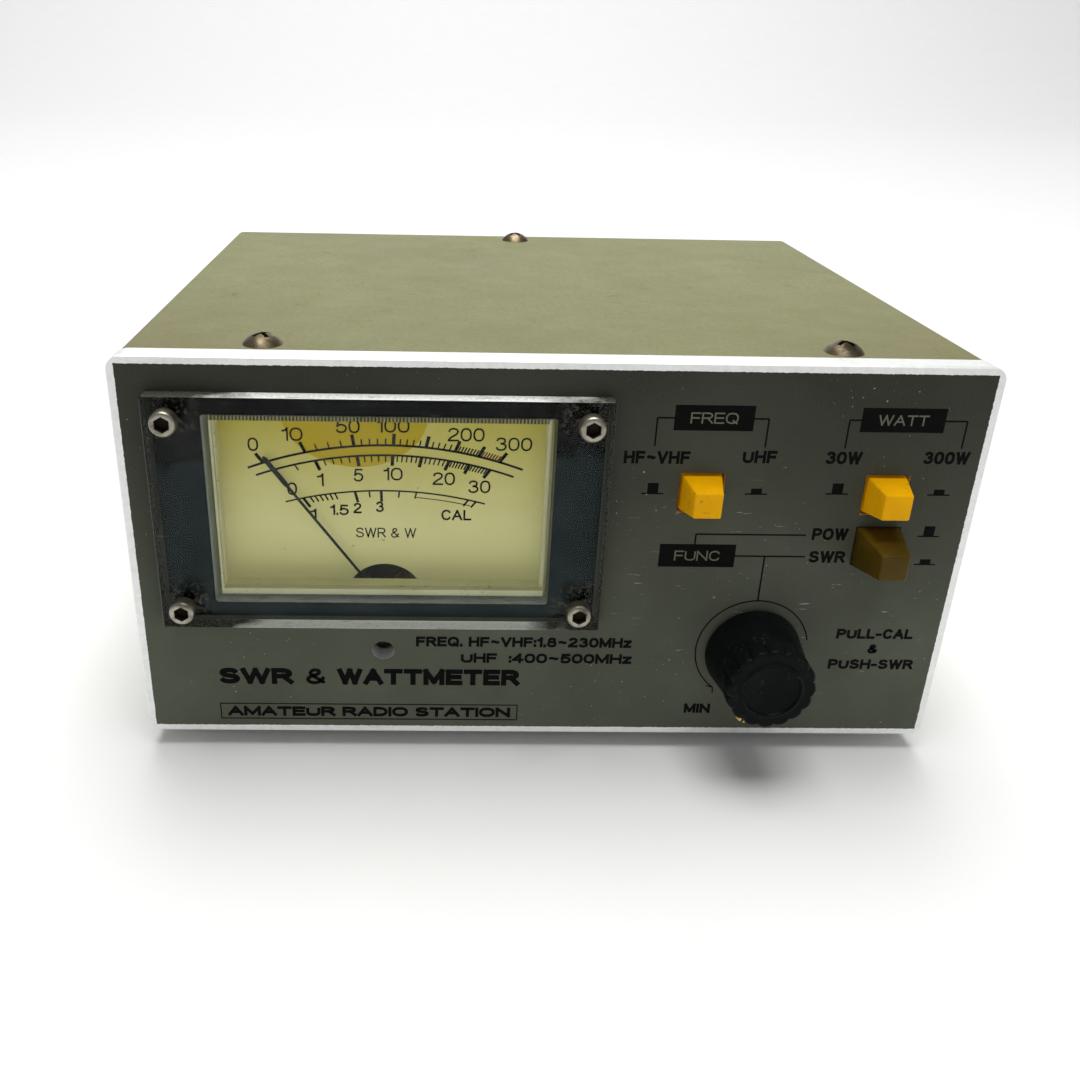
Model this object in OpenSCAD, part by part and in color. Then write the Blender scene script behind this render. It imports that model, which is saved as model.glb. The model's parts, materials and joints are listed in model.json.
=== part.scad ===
// Bench SWR and power meter for radio transmitters.
// Pieces are drawn in panel coordinates: x from the centre line, y back from the painted face,
// z up from the front panel's lower edge. place() moves them so that the origin is under the
// middle of the instrument, level with the soles of its feet.

/* [Front panel] */
// Width of the front panel
panel_w = 150; // [150:1:190]
// Height of the front panel
panel_h = 74; // [74:1:95]
// Thickness of the front panel
panel_t = 4.4; // [3.6:0.1:5.4]
// Corner radius of the front panel
panel_r = 3; // [1:0.5:5]
// Bevel round the front panel's edge
panel_bevel = 0.3; // [0.2:0.1:1]

/* [Case] */
// Depth of the cover behind the front panel
case_depth = 119.8; // [99:1:170]
// How far the cover's sides lie inside the panel's ends
cover_inset = 0.5; // [0.4:0.1:3]
// How far the cover's top lies below the panel's top
cover_drop = 0.45; // [0.2:0.05:1.5]
// Sheet thickness of the cover
cover_t = 1.0; // [0.8:0.1:1.5]
// Outer bend radius of the cover
cover_bend = 1.8; // [1.6:0.1:3]
// Sheet thickness of the chassis
sheet_t = 1.2; // [0.8:0.1:1.5]
// Gap between the chassis and the cover's sides
side_gap = 0.25; // [0.1:0.05:0.5]
// Length of the chassis flanges under the cover
flange_len = 11; // [9:0.5:14]
// Height of the chassis side lips
side_lip = 8; // [5:0.5:9]
// How far the rear wall is set inside the cover
rear_recess = 0.8; // [0:0.1:2]
// Underside of the chassis above the panel's lower edge
chassis_up = 0.9; // [0.5:0.1:2]

/* [Feet] */
// Clearance between the panel's lower edge and the table
panel_lift = 3.5; // [3:0.1:8]
// Radius of each rubber foot
foot_r = 6.5; // [5.5:0.5:9]
// Distance of the feet from the panel's ends
foot_side = 17; // [12:1:25]
// Distance of the feet from the front and rear of the case
foot_end = 14; // [12:1:25]

/* [Fasteners] */
// Radius of the case screws
screw_r = 1.5; // [1.4:0.1:1.7]
// Radius of the cover screws' domed heads
dome_r = 3.5; // [3:0.1:4]
// Height of the cover screws' domed heads
dome_h = 1.9; // [1.5:0.1:2.2]
// Radius of the inner screws' heads
head_r = 2.8; // [2.5:0.1:3]
// Height of the inner screws' heads
head_h = 2.0; // [1.5:0.1:2.5]
// Distance of the front cover screws from the centre line
cover_screw_x = 50.5; // [40:0.5:60]
// Distance of the cover screws from the cover's front and rear edges
cover_screw_y = 5.6; // [4.5:0.1:6.5]

/* [Meter window] */
// Width of the clear window plate
plate_w = 78.6; // [77:0.1:80]
// Height of the clear window plate
plate_h = 43.3; // [40:0.1:44]
// Thickness of the clear window plate
plate_t = 3; // [2:0.1:4]
// Gap between the window plate and the panel's end
plate_side = 5.8; // [5.5:0.1:8]
// Gap between the window plate and the panel's top
plate_top = 6.05; // [6:0.05:7]
// Distance of the window screws from the plate's ends
plate_screw_x = 4.0; // [3:0.1:4]
// Distance of the window screws from the plate's long edges
plate_screw_z = 4.05; // [2.5:0.05:4.5]
// Radius of the window screws
cap_screw_r = 1.3; // [1:0.1:1.5]
// Radius of the window screws' heads
cap_screw_head = 2.25; // [2:0.05:2.5]
// Width of the panel's opening for the meter
window_w = 61.4; // [60:0.1:62]
// Height of the panel's opening for the meter
window_h = 36.8; // [36:0.1:37.5]
// How far the opening lies below the window plate's centre
window_drop = 0.15; // [0:0.05:1.5]

/* [Meter] */
// Distance from the window's centre down to the needle's pivot
pivot_drop = 21.8; // [21:0.1:22.5]
// Distance from the pivot down to the zero screw
zero_drop = 6.2; // [6:0.1:6.5]
// Length of the needle from the pivot
needle_len = 36.4; // [30:0.1:37]
// Length of the needle's broad blade at its tip
blade_len = 7.5; // [6:0.5:16]
// Angle of the needle from upright when it points at zero
rest_angle = 36.25; // [30:0.25:45]
// Swing of the needle from zero to its right-hand stop
swing = 82; // [70:1:85]
// Depth of the scale plate behind the back of the lens's flange
scale_gap = 2.0; // [1.9:0.1:2.5]
// Radius of the core magnet
core_r = 6.5; // [5.4:0.1:7.8]
// Length of the core magnet
core_len = 11.2; // [9:0.1:12]
// Radial gap between the core magnet and the yoke
air_gap = 2.5; // [2.3:0.1:2.8]
// Wall of the yoke ring
yoke_t = 3.5; // [3:0.1:4]

/* [Push buttons] */
// Width of a button cap at its skirt
cap_w = 7.5; // [6:0.1:8.5]
// Height of a button cap at its skirt
cap_h = 7.2; // [6:0.1:7.5]
// Width of a button cap's front face
cap_front = 4.8; // [4:0.1:5.5]
// Reach of a button cap in front of the panel when it is out
cap_reach = 9.2; // [8:0.1:10]
// Travel of a button from out to latched
push_travel = 3.5; // [2.5:0.1:4]
// Further travel of a button past its latch
push_over = 0.8; // [0.4:0.1:1]
// Gap between a button cap and its hole
cap_gap = 0.25; // [0.15:0.05:0.4]
// Distance of the right-hand buttons from the panel's end
button_side = 16.6; // [16:0.1:18]
// Distance of the upper buttons from the panel's top
button_top = 23.35; // [22:0.1:25]
// Distance between the two upper buttons
button_pitch = 32.5; // [30:0.5:33]
// Distance between the power button and the function button below it
func_pitch = 9.85; // [9.8:0.05:10.5]

/* [Calibration control] */
// Distance of the knob from the panel's end
knob_side = 36; // [34:0.5:38]
// Height of the knob above the panel's lower edge
knob_z = 19.05; // [18:0.5:20]
// Radius of the knob at its base
knob_base_r = 8.9; // [8.5:0.1:10]
// Radius of the knob at its front
knob_front_r = 8.0; // [7.5:0.1:9]
// Reach of the knob in front of the panel
knob_reach = 14.4; // [12:0.1:17]
// Radius of the control's shaft
shaft_r = 3; // [2.5:0.1:3.6]
// Travel of the knob when it is pulled out
pull_travel = 4; // [3:0.1:4.5]
// Running clearance of turning and sliding pieces
run_gap = 0.05; // [0.03:0.01:0.08]
// Radius of the control's case
pot_r = 8.5; // [8:0.1:9]

/* [Rear sockets] */
// Height of the coaxial sockets above the panel's lower edge
socket_z = 38; // [36:0.5:45]
// Distance between the two sockets of a pair
socket_pitch = 30; // [28:0.5:31]
// Distance of each pair's middle from the centre line
pair_x = 37; // [36:0.5:38]
// Width of a socket's square flange
flange_w = 25.4; // [24:0.1:27]
// Distance between a socket flange's screws
flange_pitch = 18.2; // [17.5:0.1:19]
// Radius of the sockets' threaded barrels
barrel_r = 7.94; // [7.5:0.01:8.2]
// Length of the lower band's barrels
hf_barrel = 13; // [10:0.1:15]
// Length of the upper band's barrels
uhf_barrel = 11.7; // [10:0.1:13]
// Height of the lamp supply socket above the panel's lower edge
jack_z = 20; // [16:0.5:24]

/* [Hidden] */
$fn = 48;

// Clearances
tap_gap = 0.03;
fit_gap = 0.02;
hole_gap = 0.1;

// Case
cover_x = panel_w / 2 - cover_inset;
chassis_x = cover_x - cover_t - side_gap;
cover_z = panel_h - cover_drop;
deck_z = cover_z - cover_t;
floor_z = chassis_up + sheet_t;
wall_y = panel_t + sheet_t;
relief = cover_bend - cover_t;
rear_y = panel_t + case_depth;
back_y = rear_y - rear_recess;
inner_y = back_y - sheet_t;
barrel_y = back_y + 1.6;
total_y = knob_reach + barrel_y + hf_barrel;
cover_screws_at = [[-cover_screw_x, panel_t + cover_screw_y], [cover_screw_x, panel_t + cover_screw_y],
    [0, rear_y - cover_screw_y]];
feet_at = [for (x = [-1, 1], y = [panel_t + foot_end, rear_y - foot_end])
    [x * (panel_w / 2 - foot_side), y]];

// Meter
meter_x = -panel_w / 2 + plate_side + plate_w / 2;
plate_z = panel_h - plate_top - plate_h / 2;
window_z = plate_z - window_drop;
pivot_z = window_z - pivot_drop;
zero_z = pivot_z - zero_drop;
access_r = 2.1;
lens_wall = 1.2;
lens_w = 63.2;
lens_flange_w = 76;
lens_lo = pivot_z - 17.85;
lens_hi = window_z + 21.35;
lens_step_w = window_w - 0.4;
lens_step_h = window_h - 0.4;
lens_y = wall_y + 1.4;
scale_y = lens_y + scale_gap;
base_y = lens_y + 8;
base_t = 2;
lamp_z = lens_hi - 3.4;
meter_screw_x = 35;
meter_screws_at = [for (x = [-1, 1], z = [window_z - 28.15, window_z + 9.85])
    [meter_x + x * meter_screw_x, z]];
pillars_at = [for (x = [-1, 1], z = [window_z - 22.15, window_z + 17.45])
    [meter_x + x * 26.5, z]];
plate_screws_at = [for (x = [-1, 1], z = [-1, 1])
    [meter_x + x * (plate_w / 2 - plate_screw_x), plate_z + z * (plate_h / 2 - plate_screw_z)]];
jewel_y = scale_y + 1.0;
hub_y = scale_y + 1.7;
coil_y = scale_y + 2.6;
coil_bar = 1.2;
coil_w = 2.6;
coil_in = core_r + 0.6;
coil_out = core_r + air_gap - 0.6;
core_y = coil_y + coil_bar + 0.6;
core_end = core_y + core_len;
coil_end = core_end + 0.6 + coil_bar;
yoke_in = core_r + air_gap;
yoke_out = yoke_in + yoke_t;
strut_x = yoke_in + 1.0;
can_wall = 2;
can_end = coil_end + 8.6;
stud_x = 6.5;

// Buttons
watt_x = panel_w / 2 - button_side;
freq_x = watt_x - button_pitch;
row_z = panel_h - button_top;
func_z = row_z - func_pitch;
buttons_at = [[freq_x, row_z], [watt_x, row_z], [watt_x, func_z]];
cap_len = 12;
taper_len = 8;
cap_out = -cap_reach;
cap_in = cap_out + push_travel;
bar_w = 3;
switch_y = 15;
switch_len = 20;
switch_w = 9;
switch_h = 9.2;
board_y = switch_y + switch_len;
board_t = 1.6;
board_x = [freq_x - 11.9, min(watt_x + 12.1, chassis_x - sheet_t - 0.5)];
board_z = [floor_z + 8.9, row_z + 14.35];
standoffs_at = [[freq_x - 7.4, floor_z + 12], [watt_x + 9.6, floor_z + 12], [freq_x - 7.4, row_z + 9.4],
    [watt_x + 9.6, row_z + 7.4]];
pin_r = 0.35;
trims_at = [[freq_x - 2, board_z[0] + 14], [freq_x - 2, board_z[0] + 24]];
trim_r = 2.3;
panel_screws_at = [[freq_x - 11.9, chassis_up + 6.1], [freq_x - 11.9, deck_z - 7],
    [panel_w / 2 - 7.5, chassis_up + 6.1], [panel_w / 2 - 7.5, deck_z - 7.5]];

// Calibration control
knob_x = panel_w / 2 - knob_side;
bush_r = shaft_r + 1;
pot_y = wall_y;
pot_end = pot_y + 9.4;
slider_t = 1.3;
slider_y = pot_end + 1 + pull_travel + 0.4;
switch_can = slider_y + slider_t + 4.6;
groove_r = shaft_r - 1.5;
arbor_r = shaft_r - 0.5;
lobes = 16;

// Rear
box_w = socket_pitch + 30;
box_h = 32;
box_len = 27.5;
box_t = 0.8;
sockets_hf = [-pair_x - socket_pitch / 2, -pair_x + socket_pitch / 2];
sockets_uhf = [pair_x - socket_pitch / 2, pair_x + socket_pitch / 2];
sockets_x = concat(sockets_hf, sockets_uhf);
hf_core = 5.6;
uhf_core = 4.0;
uhf_collar = 2;
tail_y = inner_y - 8.7;
tail_r = 1.5;
flange_t = barrel_y - back_y;
jack_r = 4;

// Moves a piece from panel coordinates to the instrument's own origin
module place() {
    translate([0, knob_reach - total_y / 2, panel_lift]) children();
}

// Block between two corners
module block(lo, hi) {
    translate(lo) cube(hi - lo);
}

// Gives an outline in x and z its thickness, from y0 back to y1
module span(y0, y1) {
    translate([0, y1, 0]) rotate([90, 0, 0]) linear_extrude(height = y1 - y0) children();
}

// Round bar along y
module rod(x, z, y0, y1, r) {
    translate([x, y0, z]) rotate([-90, 0, 0]) cylinder(h = y1 - y0, r = r);
}

// Rectangle centred on a point
module rect(x, z, w, h) {
    translate([x - w / 2, z - h / 2]) square([w, h]);
}

// Rectangle with round corners, centred on a point
module soft_rect(x, z, w, h, r) {
    rect(x, z, w - 2 * r, h);
    rect(x, z, w, h - 2 * r);
    for (i = [-1, 1], j = [-1, 1])
        translate([x + i * (w / 2 - r), z + j * (h / 2 - r)]) circle(r = r);
}

// Round holes in an outline
module dots(places, r) {
    for (p = places) translate(p) circle(r = r);
}

// Six-sided outline measured across its flats
module hexagon(x, z, flats) {
    translate([x, z]) circle(d = flats / cos(30), $fn = 6);
}

// Pan-headed screw along y, its head towards the rear
module pan_screw(x, z, tip, seat) {
    difference() {
        union() {
            rod(x, z, tip, seat + 0.2, screw_r - tap_gap);
            rod(x, z, seat, seat + head_h, head_r);
        }
        for (a = [0, 90])
            translate([x, seat + head_h, z]) rotate([0, a, 0]) cube([0.7, 2, 3.2], center = true);
    }
}

// Angles and places of things that lie round the meter's pivot
module about_pivot(angle) {
    translate([meter_x, 0, pivot_z]) rotate([0, angle, 0]) children();
}

module front_panel() {
    b = panel_bevel;
    w = panel_w / 2;
    color("gainsboro") difference() {
        intersection() {
            span(0, panel_t) soft_rect(0, panel_h / 2, panel_w, panel_h, panel_r);
            linear_extrude(height = panel_h)
                polygon([[b - w, 0], [w - b, 0], [w, b], [w, panel_t], [-w, panel_t], [-w, b]]);
            translate([-w, 0, 0]) rotate([90, 0, 90]) linear_extrude(height = panel_w)
                polygon([[0, b], [b, 0], [panel_t, 0], [panel_t, panel_h], [b, panel_h], [0, panel_h - b]]);
        }
        span(-1, panel_t + 1) {
            soft_rect(meter_x, window_z, window_w, window_h, 0.6);
            translate([meter_x, zero_z]) circle(r = access_r);
            for (p = buttons_at) rect(p[0], p[1], cap_w + 2 * cap_gap, cap_h + 2 * cap_gap);
            translate([knob_x, knob_z]) circle(r = bush_r + hole_gap);
        }
        span(1.5, panel_t + 1) dots(concat(meter_screws_at, panel_screws_at), screw_r);
        span(-1, panel_t - 0.8) dots(plate_screws_at, cap_screw_r + tap_gap);
    }
}

module chassis() {
    color("silver") difference() {
        union() {
            block([-chassis_x, panel_t, chassis_up], [chassis_x, back_y, floor_z]);
            block([-chassis_x, panel_t, chassis_up], [chassis_x, wall_y, deck_z]);
            block([-chassis_x, inner_y, chassis_up], [chassis_x, back_y, deck_z]);
            block([-chassis_x, panel_t, deck_z - sheet_t], [chassis_x, panel_t + flange_len, deck_z]);
            block([-chassis_x, back_y - flange_len, deck_z - sheet_t], [chassis_x, back_y, deck_z]);
            for (s = [-1, 1]) translate([s * (chassis_x - sheet_t / 2), 0, 0])
                block([-sheet_t / 2, panel_t, chassis_up], [sheet_t / 2, back_y, floor_z + side_lip]);
        }
        span(panel_t - 1, rear_y) for (s = [-1, 1])
            translate([s * chassis_x, deck_z]) rotate(45) square(relief * sqrt(2), center = true);
        span(panel_t - 1, wall_y + 1) {
            soft_rect(meter_x, window_z, window_w, window_h, 0.6);
            translate([meter_x, zero_z]) circle(r = access_r);
            for (p = buttons_at) rect(p[0], p[1], cap_w + 4 * cap_gap, cap_h + 4 * cap_gap);
            translate([knob_x, knob_z]) circle(r = bush_r + hole_gap);
            dots(concat(meter_screws_at, panel_screws_at), screw_r + hole_gap);
        }
        span(inner_y - 1, back_y + 1) {
            for (x = sockets_x) {
                translate([x, socket_z]) circle(r = hf_core + hole_gap);
                socket_screw_dots(x, screw_r + hole_gap);
            }
            translate([0, jack_z]) circle(r = jack_r);
        }
        for (p = cover_screws_at) translate([p[0], p[1], deck_z - 5]) cylinder(h = 9, r = screw_r);
        for (p = feet_at) translate([p[0], p[1], -1]) cylinder(h = 9, r = screw_r);
    }
}

// Screw places on one socket's flange
module socket_screw_dots(x, r) {
    for (i = [-1, 1], j = [-1, 1])
        translate([x + i * flange_pitch / 2, socket_z + j * flange_pitch / 2]) circle(r = r);
}

// Outline of the cover's outer face: a sheet with two round upper bends
module cover_outline(half, top, r) {
    translate([-half, chassis_up]) square([2 * half, top - r - chassis_up]);
    translate([r - half, chassis_up]) square([2 * (half - r), top - chassis_up]);
    for (s = [-1, 1]) translate([s * (half - r), top - r]) circle(r = r);
}

module top_cover() {
    color("darkkhaki") difference() {
        span(panel_t, rear_y) difference() {
            cover_outline(cover_x, cover_z, cover_bend);
            translate([0, -1]) cover_outline(cover_x - cover_t, deck_z + 1, relief);
        }
        for (p = cover_screws_at)
            translate([p[0], p[1], deck_z - 1]) cylinder(h = cover_t + 2, r = screw_r + 2 * hole_gap);
    }
}

module cover_screws() {
    ball_r = (dome_r * dome_r + dome_h * dome_h) / (2 * dome_h);
    color("silver") for (p = cover_screws_at) translate([p[0], p[1], cover_z]) difference() {
        union() {
            translate([0, 0, -6]) cylinder(h = 6.1, r = screw_r - tap_gap);
            intersection() {
                cylinder(h = dome_h, r = dome_r);
                translate([0, 0, dome_h - ball_r]) sphere(r = ball_r);
            }
        }
        for (a = [35, 125]) rotate([0, 0, a]) translate([0, 0, dome_h + 0.4])
            cube([0.8, 3.6, 2.6], center = true);
    }
}

module panel_screws() {
    color("silver") {
        for (p = meter_screws_at) pan_screw(p[0], p[1], 1.6, lens_y);
        for (p = panel_screws_at) pan_screw(p[0], p[1], 1.6, wall_y);
    }
}

module rubber_feet() {
    color("dimgray") for (p = feet_at) translate([p[0], p[1], -panel_lift]) rotate_extrude()
        polygon([[head_r + 0.5, 0], [foot_r - 0.8, 0], [foot_r, 0.8], [foot_r, panel_lift + chassis_up],
            [screw_r + hole_gap, panel_lift + chassis_up], [screw_r + hole_gap, 2.6], [head_r + 0.5, 2.6]]);
}

module foot_screws() {
    color("silver") for (p = feet_at) translate([p[0], p[1], 2.6 - panel_lift - head_h]) difference() {
        union() {
            cylinder(h = head_h, r = head_r);
            cylinder(h = floor_z + panel_lift + 0.9, r = screw_r - tap_gap);
        }
        for (a = [0, 90]) rotate([0, 0, a]) cube([0.7, 3.2, 2], center = true);
    }
}

module window_plate() {
    color("lightblue", 0.4) difference() {
        span(-plate_t, 0) soft_rect(meter_x, plate_z, plate_w, plate_h, 0.5);
        span(-plate_t - 1, 1) dots(plate_screws_at, cap_screw_r + hole_gap);
    }
}

module window_screws() {
    head = 2 * cap_screw_r;
    color("silver") for (p = plate_screws_at) difference() {
        union() {
            rod(p[0], p[1], -plate_t - 0.1, panel_t - 1.2, cap_screw_r);
            rod(p[0], p[1], -plate_t - head, -plate_t, cap_screw_head);
        }
        span(-plate_t - head - 1, -plate_t - head / 2) hexagon(p[0], p[1], 2.1);
    }
}

module meter_lens() {
    color("lightcyan", 0.4) difference() {
        union() {
            span(0.3, lens_y) soft_rect(meter_x, window_z, lens_step_w, lens_step_h, 0.4);
            span(wall_y, lens_y) translate([meter_x - lens_flange_w / 2, lens_lo])
                square([lens_flange_w, lens_hi - lens_lo]);
            span(wall_y, base_y) translate([meter_x - lens_w / 2, lens_lo])
                square([lens_w, lens_hi - lens_lo]);
        }
        span(1.6, lens_y + 1)
            rect(meter_x, window_z, lens_step_w - 2 * lens_wall + 0.2, lens_step_h - 2 * lens_wall + 0.2);
        span(lens_y, base_y + 1) translate([meter_x - lens_w / 2 + lens_wall, lens_lo + lens_wall])
            square([lens_w - 2 * lens_wall, lens_hi - lens_lo - 2 * lens_wall]);
        span(wall_y - 1, lens_y + 1) {
            dots(meter_screws_at, screw_r + hole_gap);
            translate([meter_x, zero_z]) circle(r = 1.5 + run_gap);
        }
    }
}

module meter_bezel() {
    w = lens_step_w - 2 * lens_wall;
    h = lens_step_h - 2 * lens_wall;
    color("beige") difference() {
        span(1.65, lens_y - 1.5) rect(meter_x, window_z, w, h);
        span(1, 2.8) rect(meter_x + 0.15, window_z + 0.45, w - 0.5, h - 1.3);
        span(2.6, lens_y) rect(meter_x + 0.1, window_z + 0.4, w - 1.25, h - 2.0);
    }
}

module scale_plate() {
    half = lens_w / 2 - lens_wall - 0.4;
    ear_z = window_z - 24.15;
    foot_z = pivot_z + 3;
    top_z = lens_hi - 2.3;
    notch = coil_out + coil_w * 2 + 1.5;
    color("khaki") span(scale_y, scale_y + 0.5) difference() {
        translate([meter_x - half, ear_z]) square([2 * half, top_z - ear_z]);
        translate([meter_x - notch, ear_z - 1]) square([2 * notch, foot_z - ear_z + 1]);
        translate([meter_x, pivot_z]) circle(r = 7.5);
        dots(pillars_at, 0.8);
        rect(meter_x, lamp_z + 2, 4.4, 8);
    }
}

module meter_base() {
    color("white") difference() {
        union() {
            span(base_y, base_y + base_t) translate([meter_x - lens_w / 2, lens_lo])
                square([lens_w, lens_hi - lens_lo]);
            rod(meter_x, pivot_z, base_y, can_end, yoke_out + fit_gap + can_wall);
            for (p = pillars_at) {
                rod(p[0], p[1], scale_y + 0.5, base_y + 0.1, 1.6);
                rod(p[0], p[1], scale_y - 0.4, scale_y + 0.6, 0.75);
            }
        }
        rod(meter_x, pivot_z, base_y - 1, can_end - can_wall, yoke_out + fit_gap);
        rod(meter_x, lamp_z, base_y - 1, base_y + base_t + 1, 2.5);
        for (s = [-1, 1]) rod(meter_x + s * stud_x, pivot_z, can_end - 5, can_end + 1, screw_r);
    }
}

module core_magnet() {
    color("slategray") rod(meter_x, pivot_z, core_y, core_end, core_r);
}

module yoke_ring() {
    color("gray") span(core_y, core_end) difference() {
        translate([meter_x, pivot_z]) {
            difference() {
                circle(r = yoke_out);
                circle(r = yoke_in);
            }
            square([4, 2 * yoke_in + 0.4], center = true);
        }
        translate([meter_x, pivot_z]) circle(r = core_r + fit_gap);
    }
}

// Bridge over the movement: a strip from strip_y, with struts down to the yoke at yoke_face
module bridge(strip_y, strut_from, strut_to) {
    difference() {
        union() {
            span(strip_y, strip_y + 0.8) rect(meter_x, pivot_z, 2 * strut_x + 4, 4.4);
            for (s = [-1, 1])
                span(strut_from, strut_to) rect(meter_x + s * (strut_x + 1), pivot_z, 2, 4.4);
        }
        rod(meter_x, pivot_z, strip_y - 1, strip_y + 2, 1.4 + tap_gap);
    }
}

module front_bridge() {
    color("goldenrod") bridge(scale_y - 0.3, scale_y - 0.3, core_y);
}

module rear_bridge() {
    color("goldenrod") bridge(core_end + 4, core_end, core_end + 4.8);
}

module jewel_screws() {
    color("silver") {
        difference() {
            union() {
                rod(meter_x, pivot_z, scale_y - 1.7, scale_y - 1.1, 1.9);
                rod(meter_x, pivot_z, scale_y - 1.2, jewel_y, 1.4);
            }
            rod(meter_x, pivot_z, jewel_y - 0.6, jewel_y + 1, 0.35);
            span(scale_y - 2, scale_y - 1.4) rect(meter_x, pivot_z, 4, 0.5);
        }
        difference() {
            rod(meter_x, pivot_z, coil_end + 1.6, core_end + 6.4, 1.4);
            rod(meter_x, pivot_z, coil_end + 1, coil_end + 2.2, 0.35);
        }
    }
}

module pointer() {
    crank = 5.0;
    blade_from = needle_len - blade_len;
    color("black") about_pivot(-rest_angle) {
        difference() {
            union() {
                rod(0, 0, hub_y, hub_y + 0.6, 1.6);
                block([-0.45, hub_y, 0.8], [0.45, hub_y + 0.5, crank + 0.6]);
                for (a = [120, 240]) rotate([0, a, 0]) {
                    block([-0.3, hub_y, 0.8], [0.3, hub_y + 0.5, 5]);
                    rod(0, 4.4, hub_y - 0.1, hub_y + 0.6, 0.9);
                }
            }
            rod(0, 0, hub_y - 1, hub_y + 2, 0.3 + fit_gap);
        }
        block([-0.45, scale_y - 1.5, crank], [0.45, hub_y + 0.5, crank + 0.6]);
        span(scale_y - 1.5, scale_y - 1.2)
            polygon([[-0.22, crank], [0.22, crank], [0.22, blade_from], [0.42, blade_from + 1],
                [0.42, needle_len - 0.6], [0, needle_len], [-0.42, needle_len - 0.6],
                [-0.42, blade_from + 1], [-0.22, blade_from]]);
    }
}

module moving_coil() {
    color("peru") about_pivot(-swing / 2) {
        difference() {
            block([-coil_out, coil_y, -coil_w / 2], [coil_out, coil_end, coil_w / 2]);
            block([-coil_in, coil_y + coil_bar, -coil_w], [coil_in, coil_end - coil_bar, coil_w]);
        }
        rod(0, 0, jewel_y - 0.5, hub_y + 0.7, 0.3);
        rod(0, 0, hub_y + 0.6, coil_y + 0.1, 1.3);
        rod(0, 0, coil_end - 0.1, coil_end + 0.3, 1.3);
        rod(0, 0, coil_end + 0.2, coil_end + 2.1, 0.3);
    }
}

// Flat spiral outline: both edges of a thin strip that winds out evenly
module spiral(turns, r0, r1, strip) {
    steps = 20 * turns;
    inner = [for (i = [0:steps])
        let (r = r0 + (r1 - r0) * i / steps, a = 18 * i) [r * cos(a), r * sin(a)]];
    outer = [for (i = [steps:-1:0])
        let (r = r0 + strip + (r1 - r0) * i / steps, a = 18 * i) [r * cos(a), r * sin(a)]];
    polygon(concat(inner, outer));
}

module hairsprings() {
    color("gold") for (y = [jewel_y + 0.25, coil_end + 0.7])
        span(y, y + 0.3) translate([meter_x, pivot_z]) spiral(3, 0.5, 3.2, 0.15);
}

module zero_arm() {
    pin_z = zero_drop + 1.2;
    color("goldenrod") span(scale_y - 1.0, scale_y - 0.6) translate([meter_x, pivot_z]) difference() {
        union() {
            circle(r = 2.7);
            translate([-1.1, -pin_z - 0.9]) square([2.2, pin_z]);
        }
        circle(r = 1.4 + run_gap);
        translate([-0.48, -pin_z - 2]) square([0.96, 3.4]);
    }
}

module zero_screw() {
    color("ivory") difference() {
        union() {
            rod(meter_x, zero_z, wall_y + 0.2, lens_y + 0.1, 1.5);
            rod(meter_x, zero_z, lens_y + 0.05, lens_y + 0.55, 2.5);
            rod(meter_x, zero_z - 1.2, lens_y + 0.5, scale_y - 0.4, 0.4);
        }
        span(wall_y, wall_y + 0.8) rect(meter_x, zero_z, 4, 0.6);
    }
}

module meter_terminals() {
    color("silver") for (s = [-1, 1]) {
        x = meter_x + s * stud_x;
        rod(x, pivot_z, can_end - can_wall - 1.2, can_end - can_wall, 2.4);
        rod(x, pivot_z, can_end - can_wall - 0.1, can_end + 8, screw_r - tap_gap);
        span(can_end, can_end + 2.2) difference() {
            hexagon(x, pivot_z, 5.5);
            translate([x, pivot_z]) circle(r = screw_r);
        }
    }
}

module dial_lamp() {
    color("gold") {
        translate([meter_x, scale_y, lamp_z]) sphere(r = 1.5);
        rod(meter_x, lamp_z, scale_y, base_y - 1, 1.5);
        rod(meter_x, lamp_z, base_y - 1, base_y + 5, 1.7);
    }
}

module lamp_grommet() {
    color("dimgray") difference() {
        union() {
            rod(meter_x, lamp_z, base_y, base_y + base_t + 0.1, 2.5 - fit_gap);
            rod(meter_x, lamp_z, base_y + base_t, base_y + base_t + 0.6, 2.85);
        }
        rod(meter_x, lamp_z, base_y - 1, base_y + base_t + 1, 1.7 + fit_gap);
    }
}

// Tapered button cap whose front face stands at y
module button_cap(p, y) {
    taper = cap_front / cap_w;
    translate([p[0], y, p[1]]) difference() {
        union() {
            translate([0, taper_len, 0]) rotate([90, 0, 0])
                linear_extrude(height = taper_len, scale = taper) square([cap_w, cap_h], center = true);
            block([-cap_w / 2, taper_len, -cap_h / 2], [cap_w / 2, cap_len, cap_h / 2]);
        }
        span(cap_len - 7, cap_len + 1) square(bar_w + 2 * fit_gap, center = true);
    }
}

// Plunger bar with its spring collar, behind a cap whose front face stands at y
module plunger(p, y) {
    translate([p[0], y, p[1]]) {
        span(cap_len - 6.9, cap_len + 24.3) square(bar_w, center = true);
        span(cap_len + 0.4, cap_len + 1.2) square(6.2, center = true);
    }
}

module freq_cap() {
    color("orange") button_cap(buttons_at[0], cap_in);
}

module watt_cap() {
    color("orange") button_cap(buttons_at[1], cap_in);
}

module func_cap() {
    color("orange") button_cap(buttons_at[2], cap_out);
}

module freq_plunger() {
    color("white") plunger(buttons_at[0], cap_in);
}

module watt_plunger() {
    color("white") plunger(buttons_at[1], cap_in);
}

module func_plunger() {
    color("white") plunger(buttons_at[2], cap_out);
}

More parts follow.
